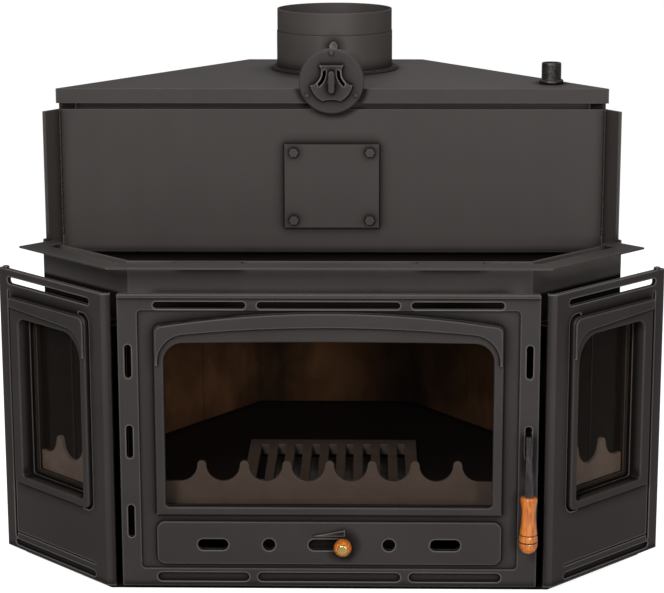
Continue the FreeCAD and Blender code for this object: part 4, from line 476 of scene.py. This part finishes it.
def galvanised_sheet():
    """Zinc coated sheet with its frost-like crystals."""
    f = Finish("pan_sheet")
    place = f.place()
    spangle = f.along(f.cells(place, 75.0)["Color"])[0]
    ash = f.noise(place, 14.0, 4.0)
    colour = f.mix(spangle, ZINC_DARK, ZINC_PALE)
    colour = f.mix(ash.rising(0.45, 0.75) * 0.5, colour, ASH_GREY)
    rough = 0.3 + spangle * 0.12 + ash * 0.2
    normal = f.bump(f.noise(place, 300.0, 2.0), 0.00008, 0.4)
    shader = f.surface(
        Base_Color=colour, Roughness=rough, Metallic=0.85, Normal=normal
    )
    return f.show(shader)


def clear_glass():
    """Fire glass, with a little smoke film in patches and at its foot."""
    f = Finish("clear_glass")
    place = f.place()
    haze = f.noise(place, 12.0, 4.0, 0.6)
    foot = 1 - f.along(place)[2].rising(0.13, 0.27)
    film = (haze * 0.5 + foot * 0.4).rising(0.3, 0.95)
    grazing = f.node("ShaderNodeFresnel", {}, {"IOR": 1.46})["Fac"]
    share = (grazing * 0.2 + film * 0.02).smaller(0.9)
    rough = 0.02 + film * 0.05
    gloss = f.surface(
        Base_Color=GLASS_FILM,
        Roughness=rough,
        Specular_IOR_Level=1.0,
    )
    clear = f.node("ShaderNodeBsdfTransparent", {}, {"Color": GLASS_TINT})["BSDF"]
    sockets = {0: share, 1: clear, 2: gloss}
    return f.show(f.node("ShaderNodeMixShader", {}, sockets)["Shader"])


def glass_rope(name, dark, pale):
    """Woven glass fibre, greyed by smoke."""
    f = Finish(name)
    place = f.place()
    x, y, z = f.along(place)
    over = ((x + y + z) * 1800.0).sine()
    under = ((x - y - z) * 1800.0).sine()
    weave = (over * under + 1) * 0.5
    smoke = f.noise(place, 25.0, 4.0)
    fibre = f.noise(place, 2200.0, 2.0)
    shade = (weave * 0.4 + smoke * 0.5 + fibre * 0.25 - 0.1).rising(0.15, 0.9)
    colour = f.mix(shade, dark, pale)
    normal = f.bump(weave + fibre * 0.4, 0.0005, 0.8)
    shader = f.surface(
        Base_Color=colour, Roughness=0.92, Sheen_Weight=0.2, Normal=normal
    )
    return f.show(shader)


def firebrick():
    """Chamotte brick, pale and gritty, blackened by smoke towards the top, and darker towards the sides."""
    f = Finish("firebrick")
    place = f.place()
    soft, edge = f.edges(0.002)
    grit = f.noise(place, 480.0, 3.0, 0.65)
    stone = f.cells(place, 190.0)["Distance"]
    burn = f.noise(f.stretched(place, (5.0, 5.0, 2.2)), 1.6, 5.0, 0.62)
    height = f.along(place)[2]
    tone = f.noise(place, 14.0, 3.0)
    colour = f.mix(tone.rising(0.3, 0.7), BRICK_DARK, BRICK_PALE)
    colour = f.mix(grit.rising(0.55, 0.8) * 0.2, colour, BRICK_GRIT)
    wing = f.along(place)[0].size().rising(0.3, 0.4)
    smoke = (burn + height.rising(0.18, 0.42) * 0.3 + wing * 0.6 - 0.1).rising(0.32, 0.62)
    colour = f.mix(smoke * 0.9, colour, SOOT_BROWN)
    rough = 0.86 + grit * 0.12
    normal = f.bump(grit * 0.6 + stone * 0.4, 0.0003, 0.35, soft)
    shader = f.surface(
        Base_Color=colour, Roughness=rough, Specular_IOR_Level=0.2, Normal=normal
    )
    return f.show(shader)


def baffle_board():
    """Pressed vermiculite board with its shining flakes, sooted from below."""
    f = Finish("baffle_board")
    place = f.place()
    cell = f.cells(place, 420.0)
    flake = f.along(cell["Color"])[0]
    colour = f.mix(flake.rising(0.2, 0.9), BOARD_PALE, BOARD_FLAKE)
    under = (0 - f.facing(2)).rising(0.2, 0.8)
    smoke = (f.noise(place, 9.0, 4.0) * 0.6 + under * 0.5).rising(0.35, 0.8)
    colour = f.mix(smoke * 0.85, colour, SOOT_BROWN)
    normal = f.bump(cell["Distance"], 0.0005, 0.6)
    shader = f.surface(Base_Color=colour, Roughness=0.9 - flake * 0.15, Normal=normal)
    return f.show(shader)


def varnished_wood(name, axis):
    """Turned beech, stained amber under clear varnish; axis is the way the grain runs."""
    f = Finish(name)
    place = f.place()
    long_way = [60.0, 60.0, 60.0]
    long_way[axis] = 5.0
    drift = f.noise(f.stretched(place, tuple(long_way)), 2.0, 3.0)
    fine = [900.0, 900.0, 900.0]
    fine[axis] = 28.0
    pore = f.noise(f.stretched(place, tuple(fine)), 1.0, 3.0, 0.6)
    ring = ((drift * 34.0).sine() + 1) * 0.5
    shade = (ring * 0.35 + pore * 0.5 + drift * 0.25 - 0.1).rising(0.15, 0.9)
    colour = f.mix(shade, WOOD_DARK, WOOD_PALE)
    rough = 0.3 + pore * 0.12
    normal = f.bump(pore, 0.00015, 0.4)
    shader = f.surface(
        Base_Color=colour,
        Roughness=rough,
        Coat_Weight=1.0,
        Coat_Roughness=0.1,
        Normal=normal,
    )
    return f.show(shader)


def burnt_wood():
    """Wood scorched dark by a wire held against it on the lathe."""
    f = Finish("burnt_wood")
    place = f.place()
    char = f.noise(place, 700.0, 3.0)
    colour = f.mix(char.rising(0.3, 0.8), BURNT, BURNT_PALE)
    shader = f.surface(
        Base_Color=colour,
        Roughness=0.5 + char * 0.2,
        Coat_Weight=0.5,
        Coat_Roughness=0.15,
        Normal=f.bump(char, 0.0001, 0.4),
    )
    return f.show(shader)


def brass():
    """Turned brass, polished, with a little tarnish."""
    f = Finish("brass")
    place = f.place()
    soft, edge = f.edges(0.0004)
    tarnish = f.noise(place, 120.0, 3.0)
    scratch = f.noise(f.stretched(place, (2400.0, 60.0, 300.0)), 1.0, 2.0)
    colour = f.mix(tarnish.rising(0.35, 0.75) * 0.6, BRASS_PALE, BRASS_DARK)
    rough = 0.16 + tarnish * 0.14 + scratch * 0.06
    normal = f.bump(scratch, 0.00003, 0.5, soft)
    shader = f.surface(Base_Color=colour, Roughness=rough, Metallic=1.0, Normal=normal)
    return f.show(shader)


finishes = {
    "sheet_paint": sheet_paint("sheet_paint", SHEET_DARK, SHEET_PALE, SHEET_EDGE_HIGHLIGHT),
    # Painted shade: dark_sheet is kept near black, standing in for the shade over the crown and behind the
    # air slots, with soot
    "dark_sheet": sheet_paint("dark_sheet", SOOT_AND_SHADE, PRIMER_AND_SHADE, PRIMER_AND_SHADE, 0.35, gloss=0.1),
    "cast_paint": cast_paint("cast_paint", CAST_DARK, CAST_PALE, CAST_EDGE_HIGHLIGHT),
    "bare_casting": bare_casting("bare_casting", GUARD_BROWN, GUARD_GREY),
    "bare_steel": bare_steel("bare_steel", STEEL_DULL, STEEL),
    "dark_steel": bare_steel("dark_steel", LEVER_DARK, LEVER_PALE, (300.0, 300.0, 40.0), 0.42),
    "pipe_steel": bare_steel("pipe_steel", PIPE_DARK, STEEL_DULL, (400.0, 400.0, 90.0), 0.42),
    "clear_glass": clear_glass(),
    "rope_seal": glass_rope("rope_seal", ROPE_DARK, ROPE_PALE),
    "pan_sheet": galvanised_sheet(),
    "firebrick": firebrick(),
    "baffle_board": baffle_board(),
    "varnished_wood": varnished_wood("varnished_wood", 2),
    "brass": brass(),
}

for row in frame["record"]["subparts"]:
    node = nodes[row["node"]]
    node.data.materials.clear()
    node.data.materials.append(finishes[row["material_slot"]])

# Pieces whose finish differs from the rest of their kind
paint = (CAST_DARK, CAST_PALE, CAST_EDGE_HIGHLIGHT)
special_finishes = [
    (varnished_wood("varnished_knob", 1), ["air_knob"]),
    (finishes["pipe_steel"], ["damper_spindle"]),
    # Painted light: the flue takes a lighter copy of the sheet paint
    (sheet_paint("flue_paint", LIT_SHEET_DARK, LIT_SHEET_PALE, SHEET_EDGE_HIGHLIGHT), ["flue_collar"]),
    # Painted shade in the reveals behind the door face and the side faces
    (cast_paint("door_paint", *paint, "front"), ["door_casting"]),
    (cast_paint("side_paint", *paint, "side"), ["side_frame_right", "side_frame_left"]),
    (
        # Painted shade in the reveals, from MOUTH_DEPTH behind the side face
        cast_paint("mouth_paint", MOUTH_DARK, MOUTH_PALE, GUARD_EDGE_HIGHLIGHT, "side", MOUTH_DEPTH),
        ["side_mouth_frame_right", "side_mouth_frame_left"],
    ),
    (
        # Painted light: the side guards take a lighter copy of the guard colours
        bare_casting("side_casting", SIDE_GUARD_LIT_BROWN, SIDE_GUARD_LIT_GREY),
        ["log_guard_right", "log_guard_left"],
    ),
    (
        sheet_paint("sooted_sheet", SHEET_DARK, SHEET_PALE, SHEET_EDGE_HIGHLIGHT, fire_below=FIRE_LEVEL),
        ["casing_back", "casing_back_right", "casing_back_left"],
    ),
    (
        # Painted light: the casing takes a lighter copy of the sheet paint, with painted shade below the
        # facade's top edge
        sheet_paint("primed_sheet", LIT_SHEET_DARK, LIT_SHEET_PALE, SHEET_EDGE_HIGHLIGHT, shade_below=FACADE_SHADE_LEVEL),
        ["casing_front", "casing_side_right", "casing_side_left", "front_mouth_frame", "base_plate"],
    ),
]
for finish, names in special_finishes:
    for name in names:
        nodes[name].data.materials[0] = finish


def add_piece(name, rings, closed, finish, body):
    """A mesh through rings of points, joined end to end or capped, that moves with a body."""
    count = len(rings[0])
    verts = [point for ring in rings for point in ring]
    faces = []
    spans = len(rings) if closed else len(rings) - 1
    for span in range(spans):
        here = span * count
        there = (span + 1) % len(rings) * count
        for i in range(count):
            j = (i + 1) % count
            faces.append((here + i, here + j, there + j, there + i))
    if not closed:
        last = (len(rings) - 1) * count
        faces.append(tuple(reversed(range(count))))
        faces.append(tuple(range(last, last + count)))
    mesh = bpy.data.meshes.new(name)
    mesh.from_pydata(verts, [], faces)
    shaper = bmesh.new()
    shaper.from_mesh(mesh)
    bmesh.ops.recalc_face_normals(shaper, faces=shaper.faces)
    shaper.to_mesh(mesh)
    shaper.free()
    for face in mesh.polygons:
        face.use_smooth = len(face.vertices) == 4
    mesh.materials.append(finish)
    piece = bpy.data.objects.new(name, mesh)
    bpy.context.collection.objects.link(piece)
    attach(piece, body)
    return piece


def circle(radius, count=40):
    """Points of a level circle; radius is a number, or a function of the angle."""
    points = []
    for i in range(count):
        angle = 2 * math.pi * i / count
        reach = radius(angle) if callable(radius) else radius
        points.append(Vector((reach * math.cos(angle), reach * math.sin(angle), 0)))
    return points


def threaded_pipe(name, replaced, foot, axis, length):
    """Pipe end with a turned socket and a cut thread, open along the middle."""
    turn = Vector((0, 0, 1)).rotation_difference(Vector(axis)).to_matrix()

    def ring(radius, along):
        lift = Vector((0, 0, along))
        return [Vector(foot) + turn @ (point + lift) for point in circle(radius, 48)]

    def tooth(along):
        share = min(1.0, (length - along) / 0.003, (along - SOCKET_HEIGHT) / 0.001)

        def radius(angle):
            phase = (along / THREAD_PITCH - angle / (2 * math.pi)) % 1.0
            return PIPE_OUTSIDE - THREAD_DEPTH * (1 - share + share * abs(2 * phase - 1))

        return radius

    rings = [ring(SOCKET_OUTSIDE, 0.0), ring(SOCKET_OUTSIDE, SOCKET_HEIGHT - 0.001)]
    rings.append(ring(SOCKET_OUTSIDE - 0.001, SOCKET_HEIGHT))
    steps = int((length - SOCKET_HEIGHT) / THREAD_PITCH * 8)
    for step in range(steps + 1):
        along = SOCKET_HEIGHT + (length - SOCKET_HEIGHT) * step / steps
        rings.append(ring(tooth(along), along))
    rings.append(ring(PIPE_INSIDE, length))
    rings.append(ring(PIPE_INSIDE, 0.0))
    pipe = add_piece(name, rings, True, finishes["pipe_steel"], "insert")
    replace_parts(pipe, replaced)


def smooth_run(stops, steps):
    """Points on a smooth curve through stops, for a turned profile."""
    points = []
    last = len(stops) - 1
    for i in range(last):
        before = Vector(stops[max(i - 1, 0)])
        start, end = Vector(stops[i]), Vector(stops[i + 1])
        after = Vector(stops[min(i + 2, last)])
        for step in range(steps):
            s = step / steps
            bend = 2 * start + (end - before) * s
            bend += (2 * before - 5 * start + 4 * end - after) * s * s
            bend += (3 * start - before - 3 * end + after) * s ** 3
            points.append(bend / 2)
    points.append(Vector(stops[last]))
    return points


def turned_grip():
    """Wooden grip with two scorched grooves."""
    low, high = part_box("handle_grip")
    foot = Vector(((low[0] + high[0]) / 2, (low[1] + high[1]) / 2, low[2]))
    profile = [Vector(GRIP_PROFILE[0])] + smooth_run(GRIP_PROFILE[1:-1], 24) + [Vector(GRIP_PROFILE[-1])]
    rings = []
    scorched = []
    for along, radius in profile:
        cut = max(math.exp(-(((along - groove) / 0.0008) ** 2)) for groove in GRIP_GROOVES)
        scorched.append(cut > 0.1)
        lift = foot + Vector((0, 0, along))
        rings.append([lift + point for point in circle(radius - 0.0008 * cut, 48)])
    wood = finishes["varnished_wood"]
    grip = add_piece("turned_grip", rings, False, wood, "latch")
    grip.data.materials.append(burnt_wood())
    for face in grip.data.polygons:
        if len(face.vertices) == 4:
            face.material_index = int(scorched[min(face.vertices) // 48])
    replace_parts(grip, "handle_grip")


def rounded_path(left, right, low, high, radii, step):
    """Closed run of flat points around a rectangle; radii from the low left corner round to the high left."""
    points = []
    middles = [
        (left + radii[0], low + radii[0], radii[0], 180),
        (right - radii[1], low + radii[1], radii[1], 270),
        (right - radii[2], high - radii[2], radii[2], 0),
        (left + radii[3], high - radii[3], radii[3], 90),
    ]
    for x, z, radius, start in middles:
        for i in range(9):
            angle = math.radians(start + 90 * i / 8)
            points.append(Vector((x + radius * math.cos(angle), z + radius * math.sin(angle))))
    run = []
    for here, there in zip(points, points[1:] + points[:1]):
        parts = max(1, round((there - here).length / step))
        for part in range(parts):
            run.append(here.lerp(there, part / parts))
    return run


def swept(path, across, section):
    """Rings of a section carried along a path; section gives offsets out and across for a place on it."""
    rings = []
    length = 0.0
    for i, here in enumerate(path):
        length += (here - path[i - 1]).length if i else 0.0
        way = (path[(i + 1) % len(path)] - path[i - 1]).normalized()
        out = way.cross(across).normalized()
        rings.append([here + out * a + across * b for a, b in section(length)])
    return rings


def pillow(half_width, half_thick):
    """Section of a soft flat strip with rounded edges."""

    def section(length):
        ripple = 1.0 - 0.05 * (1 + math.sin(length * 1400.0)) / 2
        points = []
        for i in range(12):
            angle = 2 * math.pi * i / 12
            a, b = math.cos(angle), math.sin(angle)
            a = math.copysign(abs(a) ** 0.5, a)
            b = math.copysign(abs(b) ** 0.7, b)
            points.append((half_width * a, half_thick * b * ripple))
        return points

    return section


def braid(radius):
    """Section of a braided rope."""

    def section(length):
        points = []
        for i in range(20):
            angle = 2 * math.pi * i / 20
            over = math.cos(3 * angle + length * 520.0)
            under = math.cos(3 * angle - length * 520.0)
            reach = radius * (0.9 + 0.1 * max(over, under))
            points.append((reach * math.cos(angle), reach * math.sin(angle)))
        return points

    return section


def on_front(points, place):
    return [Vector((x, place, z)) for x, z in points]


def on_side(points, depth, side):
    """Points along a slanted side face, at a depth behind it; side is 1 on the right and -1 on the left."""
    half = math.sqrt(0.5)
    placed = []
    for run, z in points:
        x = NEAR_CORNER + (run - depth) * half
        placed.append(Vector((side * x, DOOR_FACE + (run + depth) * half, z)))
    return placed


def soft_seals():
    """Braided door rope, woven glass tapes and the cover gasket."""
    rope = finishes["rope_seal"]
    tape = glass_rope("glass_tape", SOOT_AND_SHADE, SHEET_PALE)
    front = Vector((0, -1, 0))
    path = rounded_path(-SEAL_HALF, SEAL_HALF, *SEAL_LEVELS, [0.008] * 4, 0.0018)
    rings = swept(on_front(path, SEAL_PLACE), front, braid(ROPE_RADIUS))
    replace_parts(add_piece("door_rope", rings, True, rope, "door"), "door_seal")
    path = rounded_path(-DOOR_TAPE_HALF, DOOR_TAPE_HALF, *DOOR_TAPE_LEVELS, [0.006] * 4, 0.0012)
    rings = swept(on_front(path, DOOR_TAPE_PLACE), front, pillow(*DOOR_TAPE_SECTION))
    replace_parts(add_piece("door_tape", rings, True, tape, "door"), "door_glass_tape")
    path = rounded_path(-GASKET_HALF, GASKET_HALF, *GASKET_LEVELS, [0.006] * 4, 0.0012)
    rings = swept(on_front(path, GASKET_PLACE), front, pillow(*GASKET_SECTION))
    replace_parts(add_piece("cover_gasket", rings, True, tape, "insert"), "inspection_gasket")
    half = math.sqrt(0.5)
    tapes = []
    for side, word in ((1, "right"), (-1, "left")):
        across = Vector((side * half, -half, 0))
        outline = rounded_path(*SIDE_TAPE_RUN, *SIDE_TAPE_LEVELS, SIDE_TAPE_CORNERS, 0.0012)
        rings = swept(on_side(outline, SIDE_TAPE_DEPTH, side), across, pillow(*SIDE_TAPE_SECTION))
        tapes.append(add_piece("side_tape_front_" + word, rings, True, tape, "insert"))
        outline = rounded_path(*SIDE_BACK_TAPE_RUN, *SIDE_BACK_TAPE_LEVELS, [0.005] * 4, 0.0012)
        rings = swept(on_side(outline, SIDE_BACK_TAPE_DEPTH, side), across, pillow(*SIDE_BACK_TAPE_SECTION))
        tapes.append(add_piece("side_tape_back_" + word, rings, True, tape, "insert"))
    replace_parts(tapes[0], "side_glass_tapes")


def weld_bead(name, path, across, size):
    """Painted weld with the scales left by each pass."""

    def section(length):
        scale = (length * 240.0) % 1.0
        wander = 0.12 * math.sin(length * 310.0) + 0.08 * math.sin(length * 870.0)
        reach = size * (0.85 + 0.2 * scale + wander)
        return [
            (reach * math.cos(2 * math.pi * i / 12), reach * math.sin(2 * math.pi * i / 12))
            for i in range(12)
        ]

    rings = []
    length = 0.0
    for i, here in enumerate(path):
        length += (here - path[i - 1]).length if i else 0.0
        way = (path[min(i + 1, len(path) - 1)] - path[max(i - 1, 0)]).normalized()
        out = way.cross(across).normalized()
        lift = out.cross(way)
        rings.append([here + out * a + lift * b for a, b in section(length)])
    add_piece(name, rings, False, finishes["sheet_paint"], "insert")


def upright_path(x, y, low, high):
    count = int((high - low) / 0.0008)
    return [Vector((x, y, low + (high - low) * i / count)) for i in range(count + 1)]


def welds():
    """Seams of the hood, of the tank flange and around the foot of the flue."""
    front = Vector((0, -1, 0))
    for side, word in ((1, "right"), (-1, "left")):
        path = upright_path(side * HOOD_SEAM[0], HOOD_SEAM[1], *HOOD_SEAM_LEVELS)
        weld_bead("hood_weld_" + word, path, front, HOOD_WELD)
        path = upright_path(side * FLANGE_SEAM[0], FLANGE_SEAM[1], *FLANGE_SEAM_LEVELS)
        weld_bead("flange_weld_" + word, path, front, FLANGE_WELD)
    gap = math.asin(DUCT_SIDE / FLUE_FOOT)
    count = 760
    path = []
    for i in range(count + 1):
        angle = -math.pi / 2 + gap + (2 * math.pi - 2 * gap) * i / count
        x = FLUE_FOOT * math.cos(angle)
        y = FLUE_MIDDLE + FLUE_FOOT * math.sin(angle)
        path.append(Vector((x, y, TANK_TOP + 0.0006)))
    weld_bead("flue_weld", path, Vector((0, 0, 1)), FLUE_WELD)


mounts = {mount["name"]: mount for mount in frame["record"]["mounts"]}
flow_low, flow_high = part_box("flow_nipple")
flow_foot = ((flow_low[0] + flow_high[0]) / 2, (flow_low[1] + flow_high[1]) / 2, flow_low[2])
threaded_pipe("flow_pipe_end", "flow_nipple", flow_foot, (0, 0, 1), flow_high[2] - flow_low[2])
return_axis = Vector(mounts["return_pipe"]["axis"])
return_foot = Vector(mounts["return_pipe"]["pos_m"]) - RETURN_PIPE_SUNK * return_axis
threaded_pipe("return_pipe_end", "return_nipple", return_foot, return_axis, RETURN_PIPE_LENGTH)
turned_grip()
soft_seals()
welds()


def studio_floor():
    """A pale floor that shows white where no shadow falls."""
    span = FLOOR_SPAN / 2
    mesh = bpy.data.meshes.new("studio_floor")
    corners = [(-span, -span, 0), (span, -span, 0), (span, span, 0), (-span, span, 0)]
    mesh.from_pydata(corners, [], [(0, 1, 2, 3)])
    floor = bpy.data.objects.new("studio_floor", mesh)
    bpy.context.collection.objects.link(floor)
    f = Finish("studio_floor")
    tone = f.noise(f.place(), 0.8, 2.0)
    pale = f.mix(tone, FLOOR_COLOUR, FLOOR_PALE)
    matt = f.surface(Base_Color=pale, Roughness=0.9, Specular_IOR_Level=0.1)
    path = f.node("ShaderNodeLightPath")
    seen = path["Is Camera Ray"].larger(path["Is Transmission Ray"])
    glow = f.node("ShaderNodeEmission", {}, {"Color": (1, 1, 1), "Strength": FLOOR_GLOW})
    none = f.node("ShaderNodeEmission", {}, {"Color": (0, 0, 0), "Strength": 0.0})
    sockets = {0: seen, 1: none["Emission"], 2: glow["Emission"]}
    shine = f.node("ShaderNodeMixShader", {}, sockets)["Shader"]
    both = f.node("ShaderNodeAddShader", {}, {0: matt, 1: shine})["Shader"]
    mesh.materials.append(f.show(both))


def studio_world():
    """Even white surroundings, softer on the object than they look."""
    world = bpy.data.worlds.new("studio")
    bpy.context.scene.world = world
    f = Finish("studio", world)
    path = f.node("ShaderNodeLightPath")
    seen = path["Is Camera Ray"].larger(path["Is Transmission Ray"])
    light = f.node("ShaderNodeBackground", {}, {"Color": (1, 1, 1), "Strength": WORLD_LEVEL})
    white = f.node("ShaderNodeBackground", {}, {"Color": (1, 1, 1), "Strength": 1.0})
    sockets = {0: seen, 1: light["Background"], 2: white["Background"]}
    mixed = f.node("ShaderNodeMixShader", {}, sockets)["Shader"]
    f.node("ShaderNodeOutputWorld", {}, {"Surface": mixed})


def softbox(name, place, aim, width, height, power):
    lamp = bpy.data.lights.new(name, "AREA")
    lamp.shape = "RECTANGLE"
    lamp.size = width
    lamp.size_y = height
    lamp.energy = power
    box = bpy.data.objects.new(name, lamp)
    bpy.context.collection.objects.link(box)
    box.location = place
    box.rotation_euler = (Vector(aim) - Vector(place)).to_track_quat("-Z", "Y").to_euler()


def studio_camera():
    lens = bpy.data.cameras.new("camera")
    lens.sensor_width = SENSOR_WIDTH
    lens.lens = FOCAL_PIXELS * SENSOR_WIDTH / PICTURE_WIDTH
    lens.shift_y = PICTURE_SHIFT
    eye = bpy.data.objects.new("camera", lens)
    bpy.context.collection.objects.link(eye)
    eye.location = EYE
    turn = Matrix.Rotation(math.radians(EYE_TURN), 3, "Z")
    tilt = Matrix.Rotation(math.radians(90 - EYE_DOWN), 3, "X")
    roll = Matrix.Rotation(math.radians(EYE_ROLL), 3, "Z")
    eye.rotation_euler = (turn @ tilt @ roll).to_euler()
    bpy.context.scene.camera = eye


studio_floor()
studio_world()
for light in SOFTBOXES:
    softbox(*light)
studio_camera()
bpy.context.scene.view_settings.view_transform = "Standard"
